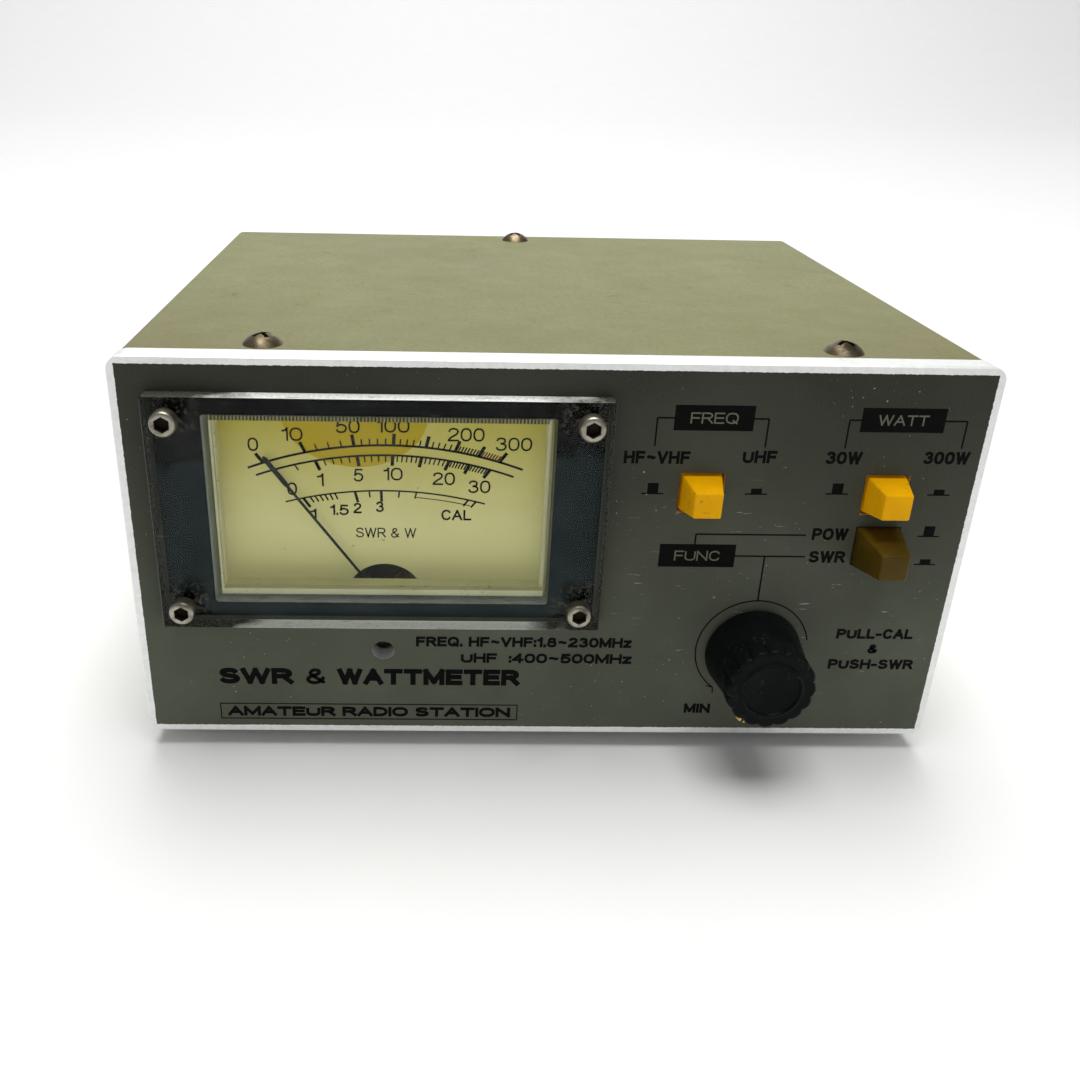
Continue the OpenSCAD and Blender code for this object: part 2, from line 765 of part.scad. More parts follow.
module switch_bodies() {
    color("dimgray") for (p = buttons_at) {
        difference() {
            span(switch_y, board_y) rect(p[0], p[1], switch_w, switch_h);
            span(switch_y - 1, board_y - 2)
                rect(p[0], p[1], bar_w + 4 * run_gap, bar_w + 4 * run_gap);
        }
        for (s = [-1, 1], k = [-1, 0, 1])
            rod(p[0] + s * 2.5, p[1] + k * 2.5, board_y - 0.1, board_y + board_t + 1.2, pin_r);
    }
}

// Coil spring between two faces: a five-sided wire swept along a helix
module coil_spring(p, y0, y1, turns) {
    wire = 0.3;
    mean = 2.75;
    steps = 10;
    edges = 5;
    pitch = (y1 - y0 - 2 * wire) / turns;
    ring = [for (i = [0:edges - 1]) [wire * cos(360 * i / edges), wire * sin(360 * i / edges)]];
    points = [for (k = [0:turns * steps], c = ring)
        let (a = 360 * k / steps)
            [(mean + c[0]) * cos(a), y0 + wire + pitch * k / steps + c[1], (mean + c[0]) * sin(a)]];
    last = turns * steps * edges;
    sides = [for (k = [0:turns * steps - 1], i = [0:edges - 1])
        let (j = (i + 1) % edges, m = edges * k) [m + i, m + edges + i, m + edges + j, m + j]];
    start = [for (i = [0:edges - 1]) i];
    end = [for (i = [edges - 1:-1:0]) last + i];
    translate([p[0], 0, p[1]]) polyhedron(points, concat([start], sides, [end]));
}

module switch_springs() {
    collar = cap_len + 1.2;
    color("silver") {
        for (i = [0, 1]) coil_spring(buttons_at[i], cap_in + collar + push_over + 0.1, switch_y, 4);
        coil_spring(buttons_at[2], cap_out + collar + push_travel + push_over + 0.1, switch_y, 4);
    }
}

module switch_board() {
    color("sienna") span(board_y, board_y + board_t) difference() {
        translate([board_x[0], board_z[0]]) square([board_x[1] - board_x[0], board_z[1] - board_z[0]]);
        for (p = buttons_at, s = [-1, 1], k = [-1, 0, 1])
            translate([p[0] + s * 2.5, p[1] + k * 2.5]) circle(r = pin_r + 0.1);
        dots(standoffs_at, screw_r + hole_gap);
    }
}

module board_standoffs() {
    color("silver") for (p = standoffs_at) {
        span(wall_y, board_y) hexagon(p[0], p[1], 5);
        rod(p[0], p[1], board_y - 0.1, board_y + board_t + 3, screw_r - tap_gap);
        span(board_y + board_t, board_y + board_t + 2.2) difference() {
            hexagon(p[0], p[1], 5.5);
            translate(p) circle(r = screw_r);
        }
    }
}

module board_parts() {
    y = board_y + board_t;
    color("tan") for (k = [0:3]) {
        z = board_z[0] + 9 + 4 * k;
        translate([watt_x - 18, y + 1.6, z]) rotate([0, 90, 0]) cylinder(h = 6.5, r = 1.15);
        for (x = [0.4, 6.1]) rod(watt_x - 18 + x, z, y, y + 1.6, 0.3);
    }
    color("navy") for (k = [0, 1]) rod(watt_x - 2 + 8 * k, board_z[0] + 8, y, y + 9, 2.6);
    color("firebrick") for (k = [0:2])
        span(y, y + 6) rect(watt_x - 1 + 4.5 * k, board_z[0] + 16, 2.4, 5);
}

module cal_knob() {
    front = -knob_reach;
    back = -0.8;
    nose = 0.8;
    color([0.1, 0.1, 0.1]) translate([knob_x, 0, knob_z]) difference() {
        rotate([-90, 0, 0]) rotate_extrude() polygon([
            [shaft_r + fit_gap, front + 1.5], [0, front + 1.5], [0, front + 0.5], [4.7, front + 0.5],
            [4.9, front], [5.6, front], [5.8, front + 0.3], [knob_front_r - nose, front + 0.3],
            [knob_front_r, front + nose + 0.3], [knob_base_r, back], [knob_base_r - 1.4, back],
            [knob_base_r - 1.6, -4.2], [shaft_r + fit_gap, -4.2]]);
        for (k = [0:lobes - 1]) rotate([0, 360 * (k + 0.5) / lobes, 0])
            rod(knob_front_r + 0.75, 0, front - 1, back - 3.4, 1.0);
        knob_screw_line() cylinder(h = 12, r = 1.25);
    }
}

// Line of the knob's set screw, from the shaft out through the knob's side
module knob_screw_line() {
    rotate([0, 208, 0]) translate([0, 3.2 - knob_reach, 0]) children();
}

module knob_screw() {
    color("gold") translate([knob_x, 0, knob_z]) knob_screw_line() translate([0, 0, shaft_r + fit_gap])
        difference() {
            cylinder(h = 5.6, r = 1.2);
            translate([0, 0, 5.4]) cube([0.5, 4, 1.6], center = true);
        }
}

module pot_nut() {
    color("silver") span(-2, 0) difference() {
        hexagon(knob_x, knob_z, 11);
        translate([knob_x, knob_z]) circle(r = bush_r + tap_gap);
    }
}

module pot_bushing() {
    color("goldenrod") span(-3.4, pot_y) difference() {
        translate([knob_x, knob_z]) circle(r = bush_r);
        translate([knob_x, knob_z]) circle(r = shaft_r + run_gap);
    }
}

module pot_case() {
    color("silver") {
        difference() {
            rod(knob_x, knob_z, pot_y, pot_end, pot_r);
            rod(knob_x, knob_z, pot_y + 1, pot_end - 1, pot_r - 1);
            rod(knob_x, knob_z, pot_y - 1, pot_end + 1, shaft_r + run_gap);
        }
        for (x = [knob_x - 4, knob_x, knob_x + 4])
            block([x - 0.8, pot_y + 3, knob_z + 6], [x + 0.8, pot_y + 3.6, knob_z + 11]);
    }
}

module pot_shaft() {
    color("silver") {
        rod(knob_x, knob_z, -knob_reach + 1.6, pot_y + 2, shaft_r);
        rod(knob_x, knob_z, pot_y + 1.9, slider_y - 0.05, arbor_r);
        rod(knob_x, knob_z, slider_y - 0.1, slider_y + slider_t + 0.1, groove_r);
        rod(knob_x, knob_z, slider_y + slider_t + 0.05, slider_y + slider_t + 1.2, arbor_r);
    }
}

module pot_wiper() {
    color("khaki") span(pot_end - 3.4, pot_end - 1.8) translate([knob_x, knob_z]) difference() {
        union() {
            circle(r = arbor_r + 1.5);
            translate([-1.2, -pot_r + 1.5]) square([2.4, 5]);
        }
        circle(r = arbor_r + run_gap);
    }
}

module pull_switch() {
    color("dimgray") difference() {
        rod(knob_x, knob_z, pot_end, switch_can, pot_r);
        rod(knob_x, knob_z, pot_end + 0.8, switch_can - 1, pot_r - 1);
        rod(knob_x, knob_z, pot_end - 1, pot_end + 2, shaft_r + run_gap);
    }
}

module pull_slider() {
    color("white") span(slider_y, slider_y + slider_t) translate([knob_x, knob_z]) difference() {
        circle(r = pot_r - 1.8);
        circle(r = groove_r + run_gap);
        translate([0, -groove_r]) square([pot_r, 2 * groove_r]);
    }
}

module coupler_boxes() {
    color("silver") for (x = [-pair_x, pair_x]) difference() {
        span(inner_y - box_len, inner_y) rect(x, socket_z, box_w, box_h);
        span(inner_y - box_len - 1, inner_y - box_t)
            rect(x, socket_z, box_w - 2 * box_t, box_h - 2 * box_t);
        span(inner_y - 5, inner_y + 1) for (s = [-1, 1]) {
            translate([x + s * socket_pitch / 2, socket_z]) circle(r = hf_core + hole_gap);
            socket_screw_dots(x + s * socket_pitch / 2, screw_r);
        }
    }
}

module coupler_lids() {
    color("gainsboro") for (x = [-pair_x, pair_x]) {
        front = inner_y - box_len;
        difference() {
            span(front - box_t, front + 5)
                rect(x, socket_z, box_w + 2 * box_t + 0.1, box_h + 2 * box_t + 0.1);
            span(front, front + 6) rect(x, socket_z, box_w + 0.1, box_h + 0.1);
        }
    }
}

module line_conductors() {
    color("silver") for (x = [-pair_x, pair_x])
        span(tail_y - 1.6, tail_y) rect(x, socket_z, socket_pitch + 5, 6);
}

module pickup_lines() {
    floor_at = socket_z - box_h / 2 + box_t;
    y = tail_y - 5.5;
    color("peru") for (x = [-pair_x, pair_x]) {
        translate([x - 11, y, socket_z]) rotate([0, 90, 0]) cylinder(h = 22, r = 0.8);
        for (s = [-1, 1]) translate([x + s * 8, y, floor_at]) cylinder(h = socket_z - floor_at, r = 0.6);
    }
}

// Square flanges on the rear wall; the right-hand pair have a collar through it
module socket_flanges() {
    color("silver") for (i = [0:3]) difference() {
        x = sockets_x[i];
        core = i < 2 ? hf_core : uhf_core;
        collar = i < 2 ? 0 : uhf_collar;
        union() {
            span(back_y, barrel_y) difference() {
                soft_rect(x, socket_z, flange_w, flange_w, 2);
                socket_screw_dots(x, screw_r + hole_gap);
            }
            rod(x, socket_z, back_y - collar, back_y + 0.1, hf_core);
        }
        rod(x, socket_z, back_y - 5, barrel_y + 1, core + run_gap);
    }
}

// Barrel that a plug screws onto, standing on its flange
module socket_barrel(x, barrel_len, core) {
    difference() {
        rod(x, socket_z, barrel_y, barrel_y + barrel_len, barrel_r);
        rod(x, socket_z, barrel_y - 1, barrel_y + barrel_len + 1, core + run_gap);
    }
}

module hf_barrels() {
    color("silver") for (x = sockets_hf) socket_barrel(x, hf_barrel, hf_core);
}

module uhf_barrels() {
    color("silver") for (x = sockets_uhf) socket_barrel(x, uhf_barrel, uhf_core);
}

module socket_insulators() {
    color("white") {
        for (x = sockets_hf) difference() {
            rod(x, socket_z, inner_y - 3.5, barrel_y + hf_barrel - 2, hf_core);
            rod(x, socket_z, inner_y - 1.2, barrel_y + hf_barrel, 2.9 + fit_gap);
            rod(x, socket_z, inner_y - 5, inner_y, tail_r + fit_gap);
        }
        for (x = sockets_uhf) difference() {
            rod(x, socket_z, inner_y - 3.5, barrel_y + 2.5, uhf_core);
            rod(x, socket_z, inner_y - 5, barrel_y + 4, tail_r + fit_gap);
        }
    }
}

module socket_contacts() {
    color("gold") {
        for (x = sockets_hf) difference() {
            union() {
                rod(x, socket_z, inner_y - 1.2, barrel_y + hf_barrel - 1.6, 2.9);
                rod(x, socket_z, tail_y, inner_y - 1.1, tail_r);
            }
            rod(x, socket_z, barrel_y - 1.6, barrel_y + hf_barrel, 2.02);
        }
        for (x = sockets_uhf) difference() {
            rod(x, socket_z, tail_y, barrel_y + 9.5, tail_r);
            rod(x, socket_z, barrel_y + 2.5, barrel_y + 11, 0.84);
        }
    }
}

module socket_screws() {
    color("silver") for (x = sockets_x, i = [-1, 1], j = [-1, 1])
        pan_screw(x + i * flange_pitch / 2, socket_z + j * flange_pitch / 2, inner_y - 4, barrel_y);
}

module dc_jack() {
    color([0.15, 0.15, 0.15]) {
        difference() {
            union() {
                rod(0, jack_z, back_y, barrel_y, jack_r + 1.6);
                rod(0, jack_z, inner_y - 10, back_y + 0.1, jack_r - fit_gap);
            }
            rod(0, jack_z, inner_y - 8, barrel_y + 1, 2.8);
        }
        rod(0, jack_z, inner_y - 8.5, back_y - 0.5, 1.05);
        span(inner_y - 2.4, inner_y) difference() {
            hexagon(0, jack_z, 10.5);
            translate([0, jack_z]) circle(r = jack_r);
        }
    }
}

module trim_pots() {
    y = board_y + board_t;
    color("steelblue") for (p = trims_at) difference() {
        span(y, y + 4) rect(p[0], p[1], 7, 7);
        rod(p[0], p[1], y + 1.8, y + 5, trim_r);
    }
}

module trim_rotor(p) {
    y = board_y + board_t;
    difference() {
        rod(p[0], p[1], y + 1.85, y + 4.3, trim_r - run_gap);
        span(y + 3.5, y + 5) rect(p[0], p[1], 3.6, 0.6);
    }
}

module trim_rotor_hf() {
    color("white") trim_rotor(trims_at[0]);
}

module trim_rotor_uhf() {
    color("white") trim_rotor(trims_at[1]);
}

// Directions along a route, and its corners rounded by short curves
function unit(v) = v / norm(v);
function heading(route, i) = unit(
    (i < len(route) - 1 ? unit(route[i + 1] - route[i]) : [0, 0, 0])
    + (i > 0 ? unit(route[i] - route[i - 1]) : [0, 0, 0]));
function corner(a, p, b) = [for (t = [0:0.25:1])
    (1 - t) * (1 - t) * (p + 0.35 * (a - p)) + 2 * t * (1 - t) * p + t * t * (p + 0.35 * (b - p))];
function eased(route) = concat([route[0]],
    [for (i = [1:len(route) - 2], q = corner(route[i - 1], route[i], route[i + 1])) q],
    [route[len(route) - 1]]);

// Insulated wire: a tube swept through a list of points
module wire(r, route) {
    sides = 8;
    path = eased(route);
    points = [for (i = [0:len(path) - 1])
        let (t = heading(path, i), u = unit(cross(t, [0.5, -0.2, 0.6])), v = cross(u, t))
        for (a = [0:360 / sides:359]) path[i] + r * (cos(a) * u + sin(a) * v)];
    last = sides * (len(path) - 1);
    walls = [for (i = [0:len(path) - 2], k = [0:sides - 1])
        let (m = sides * i, j = (k + 1) % sides) [m + j, m + sides + j, m + sides + k, m + k]];
    front = [for (k = [sides - 1:-1:0]) k];
    back = [for (k = [0:sides - 1]) last + k];
    polyhedron(points, concat([front], walls, [back]));
}

module wires() {
    lamp_y = base_y + 5;
    back = board_y + board_t;
    stud_y = can_end + 8;
    lid_y = inner_y - box_len - box_t;
    jack_y = inner_y - 10;
    low_z = board_z[0] + 5;
    color("red") for (s = [-1, 1]) wire(0.6, [
        [meter_x + 0.9 * s, lamp_y, lamp_z], [meter_x + 0.9 * s, lamp_y + 14, lamp_z],
        [-10 + 1.5 * s, lamp_y + 36, jack_z + 10], [1.5 * s, lid_y - 8, jack_z + 2],
        [1.5 * s, jack_y - 6, jack_z], [1.5 * s, jack_y, jack_z]]);
    color("black") for (s = [-1, 1]) wire(0.7, [
        [meter_x + stud_x * s, stud_y, pivot_z], [meter_x + stud_x * s, stud_y + 6 - 3 * s, pivot_z],
        [freq_x - 6, back + 12 - 3 * s, low_z + 2 * s], [freq_x + 2, back + 6, low_z + 2 * s],
        [freq_x + 2, back, low_z + 2 * s]]);
    color("gray") {
        wire(1.2, [[-pair_x, lid_y, socket_z + 6], [-pair_x, lid_y - 9, socket_z + 6],
            [freq_x - 16, back + 20, socket_z + 8], [freq_x + 1, back + 8, socket_z + 3],
            [freq_x + 1, back, socket_z + 3]]);
        wire(1.2, [[pair_x, lid_y, socket_z + 6], [pair_x, lid_y - 9, socket_z + 6],
            [watt_x - 10, back + 12, socket_z + 3], [watt_x - 10, back, socket_z + 3]]);
    }
    color("green") for (k = [-1, 1]) wire(0.5, [
        [knob_x + 4 * k, pot_y + 3.3, knob_z + 11], [knob_x + 4 * k, pot_y + 3.3, knob_z + 14],
        [knob_x + 4 * k, board_y - 6, knob_z + 13], [knob_x + 4 * k, board_y, knob_z + 13]]);
}

place() front_panel();
place() chassis();
place() top_cover();
place() cover_screws();
place() panel_screws();
place() rubber_feet();
place() foot_screws();
place() window_plate();
place() window_screws();
place() meter_lens();
place() meter_bezel();
place() scale_plate();
place() meter_base();
place() core_magnet();
place() yoke_ring();
place() front_bridge();
place() rear_bridge();
place() jewel_screws();
place() pointer();
place() moving_coil();
place() hairsprings();
place() zero_arm();
place() zero_screw();
place() meter_terminals();
place() dial_lamp();
place() lamp_grommet();
place() freq_cap();
place() watt_cap();
place() func_cap();
place() freq_plunger();
place() watt_plunger();
place() func_plunger();
place() switch_bodies();
place() switch_springs();
place() switch_board();
place() board_standoffs();
place() board_parts();
place() cal_knob();
place() knob_screw();
place() pot_nut();
place() pot_bushing();
place() pot_case();
place() pot_shaft();
place() pot_wiper();
place() pull_switch();
place() pull_slider();
place() coupler_boxes();
place() coupler_lids();
place() line_conductors();
place() pickup_lines();
place() socket_flanges();
place() hf_barrels();
place() uhf_barrels();
place() socket_insulators();
place() socket_contacts();
place() socket_screws();
place() dc_jack();
place() trim_pots();
place() trim_rotor_hf();
place() trim_rotor_uhf();
place() wires();
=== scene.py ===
"""Looks of a bench SWR and power meter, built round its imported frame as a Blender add-on."""

import json
import math

import bpy
import numpy as np
from mathutils import Matrix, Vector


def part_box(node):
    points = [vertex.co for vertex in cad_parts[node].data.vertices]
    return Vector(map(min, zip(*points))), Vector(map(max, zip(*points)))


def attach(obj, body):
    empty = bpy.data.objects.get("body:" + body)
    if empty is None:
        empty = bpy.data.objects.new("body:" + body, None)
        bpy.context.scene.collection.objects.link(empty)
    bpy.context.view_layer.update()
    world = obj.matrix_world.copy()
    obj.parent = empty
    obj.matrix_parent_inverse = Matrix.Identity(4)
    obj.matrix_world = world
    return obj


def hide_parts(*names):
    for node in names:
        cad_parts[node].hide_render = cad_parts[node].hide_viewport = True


bl_info = {
    "name": "Bench SWR meter",
    "version": (1, 0, 0),
    "blender": (4, 5, 0),
    "location": "View3D > Sidebar > SWR meter",
    "description": "Window, dial, lettering, controls and sockets of a bench SWR and power meter",
    "category": "Add Mesh",
}

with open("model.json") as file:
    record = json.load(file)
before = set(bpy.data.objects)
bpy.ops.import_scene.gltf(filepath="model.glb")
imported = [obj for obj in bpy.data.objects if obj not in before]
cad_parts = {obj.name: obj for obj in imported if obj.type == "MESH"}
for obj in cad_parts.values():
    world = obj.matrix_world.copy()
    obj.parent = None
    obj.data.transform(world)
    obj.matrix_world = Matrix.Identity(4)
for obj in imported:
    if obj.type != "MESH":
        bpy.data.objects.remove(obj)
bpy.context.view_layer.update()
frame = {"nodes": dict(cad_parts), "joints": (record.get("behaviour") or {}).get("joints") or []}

MM = 0.001
RIB_PITCH = 0.6 * MM
PANEL_LO, PANEL_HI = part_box("front_panel")
FACE_Y = PANEL_LO.y
BORDER = 1.45 * MM
SCREW_HEAD_R = 2.25 * MM
SCREW_SIDES = 144
BARREL_R = 7.94 * MM
FLANGE_W = 25.4 * MM
CAP_TAPER = 8 * MM
CAP_SLIM = 4.8 / 7.5
KNOB_RING = 10.45
STROKE_STEP = 0.0006 * MM
OVAL_POWER = 0.85
PAINT_Z = PANEL_LO.z + BORDER
DIAL_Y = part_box("scale_plate")[0].y
PIVOT = np.array(next(j["pos_m"] for j in frame["joints"] if j["name"] == "needle_swing"))
KNOB = np.array(next(j["pos_m"] for j in frame["joints"] if j["name"] == "cal_turn"))
CAMERA_PLACE = (-0.02057, -0.23240, 0.12523)
CAMERA_PITCH, CAMERA_YAW, CAMERA_ROLL = math.radians(25.26), math.radians(1.478), 0.0213
CAMERA_LENS = 35.43
CAMERA_SHIFT = 0.0747
WORLD_LIGHT = 0.3


# ---------------------------------------------------------------- meshes


def put_mesh(name, points, faces, materials, face_material=None, crease=30.0):
    """A mesh object at the origin from points and a list of faces, smooth up to the crease angle."""
    mesh = bpy.data.meshes.new(name)
    mesh.from_pydata(np.asarray(points, float).reshape(-1, 3).tolist(), [], faces)
    for material in materials:
        mesh.materials.append(material)
    if face_material is not None:
        mesh.polygons.foreach_set("material_index", np.asarray(face_material, np.int32))
    mesh.polygons.foreach_set("use_smooth", np.ones(len(mesh.polygons), bool))
    mesh.set_sharp_from_angle(angle=math.radians(crease))
    mesh.validate()
    mesh.update()
    piece = bpy.data.objects.new(name, mesh)
    bpy.context.scene.collection.objects.link(piece)
    return piece


def lattice_faces(rows, columns, wrap_columns=True, wrap_rows=False, start=0):
    """Four-sided faces of a grid of rows by columns, closed round the columns or the rows where asked."""
    r = np.arange(rows if wrap_rows else rows - 1)
    c = np.arange(columns if wrap_columns else columns - 1)
    r, c = (a.ravel() for a in np.meshgrid(r, c, indexing="ij"))
    r2, c2 = (r + 1) % rows, (c + 1) % columns
    quads = np.stack([r * columns + c, r * columns + c2, r2 * columns + c2, r2 * columns + c], 1)
    return (quads + start).tolist()


def loft(rings, start=0):
    """Closed skin over a stack of rings (rows, columns, 3): the grid between them and a cap on each end."""
    rows, columns = rings.shape[:2]
    faces = lattice_faces(rows, columns, start=start)
    faces.append((np.arange(columns)[::-1] + start).tolist())
    faces.append((np.arange(columns) + (rows - 1) * columns + start).tolist())
    return faces


def merge(parts):
    """Joins several (points, faces) pairs into one pair."""
    points, faces, count = [], [], 0
    for p, f in parts:
        p = np.asarray(p, float).reshape(-1, 3)
        points.append(p)
        faces += [[i + count for i in face] for face in f]
        count += len(p)
    return np.concatenate(points), faces


def soft_rect_path(half_w, half_h, radius, per_corner=6):
    """Rectangle with round corners, walked clockwise as seen from the front: each corner is a quarter turn
    of the given radius about a point that lies that far inside both sides."""
    angle = np.linspace(0, math.pi / 2, per_corner)
    turns = []
    for k, (sx, sz) in enumerate(((1, 1), (-1, 1), (-1, -1), (1, -1))):
        a = angle + k * math.pi / 2
        turns.append(np.stack([sx * (half_w - radius) + radius * np.cos(a),
                               sz * (half_h - radius) + radius * np.sin(a)], 1))
    return np.concatenate(turns)[::-1]


def slab(path, y_front, y_back, bevel=0.0):
    """Plate with an outline in x and z: the outline is carried from back to front, drawn in by the bevel at
    each face."""
    centre = path.mean(0)
    reach = path - centre
    shrink = 1 - bevel / np.abs(reach).max(0)
    steps = [(y_front, shrink), (y_front + bevel, 1), (y_back - bevel, 1), (y_back, shrink)]
    if bevel == 0:
        steps = [(y_front, 1), (y_back, 1)]
    rings = np.stack([np.column_stack([centre[0] + reach[:, 0] * np.broadcast_to(s, 2)[0],
                                       np.full(len(path), y),
                                       centre[1] + reach[:, 1] * np.broadcast_to(s, 2)[1]])
                      for y, s in steps])
    return rings.reshape(-1, 3), loft(rings)


def ring_slab(outer, inner, y_front, y_back):
    """Flat frame between two outlines with as many points each: a four-cornered section carried round."""
    def lift(path, y):
        return np.column_stack([path[:, 0], np.full(len(path), y), path[:, 1]])
    rings = np.stack([lift(outer, y_front), lift(outer, y_back), lift(inner, y_back), lift(inner, y_front)])
    return rings.reshape(-1, 3), lattice_faces(4, len(outer), wrap_rows=True)


def ribbon(line, width, y_front, y_back):
    """Thin printed line: the centre line is moved half its width to each side along its own normal, at two
    depths."""
    line = np.asarray(line, float)
    along = np.gradient(line, axis=0)
    along /= np.linalg.norm(along, axis=1)[:, None]
    side = np.column_stack([-along[:, 1], along[:, 0]]) * np.broadcast_to(width, len(line))[:, None] / 2
    corners = [(line + side, y_front), (line - side, y_front), (line - side, y_back), (line + side, y_back)]
    rings = np.stack([np.column_stack([c[:, 0], np.full(len(c), y), c[:, 1]]) for c, y in corners], 1)
    return rings.reshape(-1, 3), loft(rings[::-1])


def spin(profile, centre, sides=64, radius_of=None):
    """Solid of revolution about the line along y through centre: each ring's radius is the profile's, or what
    radius_of makes of it at each angle."""
    profile = np.asarray(profile, float)
    angle = np.linspace(0, 2 * math.pi, sides, endpoint=False)
    r = profile[:, 1][:, None] * np.ones(sides)
    if radius_of is not None:
        r = radius_of(r, angle[None, :])
    y = np.repeat(profile[:, 0][:, None], sides, 1)
    rings = np.stack([centre[0] + r * np.cos(angle), centre[1] + y, centre[2] + r * np.sin(angle)], 2)
    return rings.reshape(-1, 3), loft(rings)


def circle_line(cx, cz, radius, start, end, steps=64):
    """Arc about a point from one compass angle to another, in degrees clockwise from straight up."""
    a = np.radians(np.linspace(start, end, steps))
    return np.column_stack([cx + radius * np.sin(a), cz + radius * np.cos(a)])


# Strokes of each sign on a grid ten high: its width, then straight strokes, curves after "~" and ovals
# after "o"
SIGNS = {
    "0": "6.2 o0,0,6.2,10", "1": "2.4 0,7.9,1.5,8.4,2.4,10,2.4,0",
    "2": "6.2 ~.3,7.2,1,9.2,3.2,10,5.4,9.2,6,7.4,5.1,5.4,2.4,3.2,.7,1.5,.1,0 0,0,6.2,0",
    "3": "6.2 ~.3,7.6,1.2,9.4,3,10,5,9.3,5.6,7.7,4.8,6,2.6,5.4 "
         "~2.6,5.4,5.1,4.9,6.2,2.9,5.2,.7,3,0,.9,.6,0,2.5",
    "4": "6.4 4.6,0,4.6,10,0,3,6.4,3",
    "5": "6.2 5.6,10,1.2,10,.5,5 ~.5,5,1.9,6.2,3.4,6.4,5.4,5.4,6.2,3.3,5.2,.8,3,0,.9,.6,0,2.4",
    "8": "6.2 o.6,5.4,5.6,10 o0,0,6.2,5.4", "A": "7.4 0,0,3.7,10,7.4,0 1.4,3.4,6,3.4",
    "C": "7 ~7,7.4,5.8,9.4,3.7,10,1.3,8.9,.2,5,1.3,1.1,3.7,0,5.8,.6,7,2.8",
    "D": "6.8 0,0,0,10 ~0,10,3,10,5.8,8.6,6.8,5,5.8,1.4,3,0,0,0", "E": "6 6,10,0,10,0,0,6,0 0,5.2,5.5,5.2",
    "F": "5.8 5.8,10,0,10,0,0 0,5,5.2,5", "H": "7 0,0,0,10 7,0,7,10 0,5.2,7,5.2", "I": "0 0,0,0,10",
    "L": "5.4 0,10,0,0,5.4,0", "M": "8.2 0,0,0,10 0,10,4.1,1 4.1,1,8.2,10 8.2,10,8.2,0",
    "N": "7 0,0,0,10 0,10,7,0 7,0,7,10", "O": "7.8 o0,0,7.8,10",
    "P": "6.4 0,0,0,10 ~0,10,4,10,6,8.9,6.4,7.3,6,5.7,4,4.6,0,4.6", "Q": "7.8 o0,0,7.8,10 4.8,2.6,7.4,-.2",
    "R": "6.8 0,0,0,10 ~0,10,4,10,6,8.9,6.4,7.4,6,6,4,5,0,5 3.6,5,6.8,0",
    "S": "6.6 ~6.3,7.6,5.4,9.4,3.3,10,1.1,9.3,.4,7.5,1.4,5.9,3.4,5.2,5.6,4.4,6.6,2.6,5.6,.7,3.3,0,1,.7,0,2.7",
    "T": "6.8 0,10,6.8,10 3.4,10,3.4,0", "U": "6.8 ~0,10,0,5,.1,2.4,1.4,.4,3.4,0,5.4,.4,6.7,2.4,6.8,5,6.8,10",
    "V": "7 0,10,3.5,0,7,10", "W": "10 0,10,2.5,0,5,10,7.5,0,10,10", "X": "6.8 0,0,6.8,10 0,10,6.8,0",
    "z": "4.8 0,7,4.8,7,0,0,4.8,0", ".": "0 0,0,0,.6", ":": "0 0,.4,0,1 0,6,0,6.6", "-": "3.2 0,4,3.2,4",
    "~": "6.4 ~0,4.2,1.2,5.6,2.6,5.5,4,4.6,5.4,4.5,6.4,5.9", " ": "1.5",
    "&": "7.4 ~7.2,0,2,6,1.5,8.2,2.4,9.7,3.6,10,4.9,9.2,4.9,7.6,3.4,6.1,1,4.4,"
         ".2,2.4,1.2,.5,3.3,0,5.4,1.2,7,4.6",
}


def curve_through(points, steps=8):
    """Smooth line through points: on each span the place is a cubic whose slope at a point is half the step
    between that point's neighbours."""
    p = np.vstack([2 * points[:1] - points[1:2], points, 2 * points[-1:] - points[-2:-1]])
    t = np.linspace(0, 1, steps, endpoint=False)[:, None, None]
    a, b, c, d = p[:-3], p[1:-2], p[2:-1], p[3:]
    line = 0.5 * (2 * b + (c - a) * t + (2 * a - 5 * b + 4 * c - d) * t**2 + (3 * b - 3 * c + d - a) * t**3)
    return np.vstack([line.transpose(1, 0, 2).reshape(-1, 2), points[-1:]])


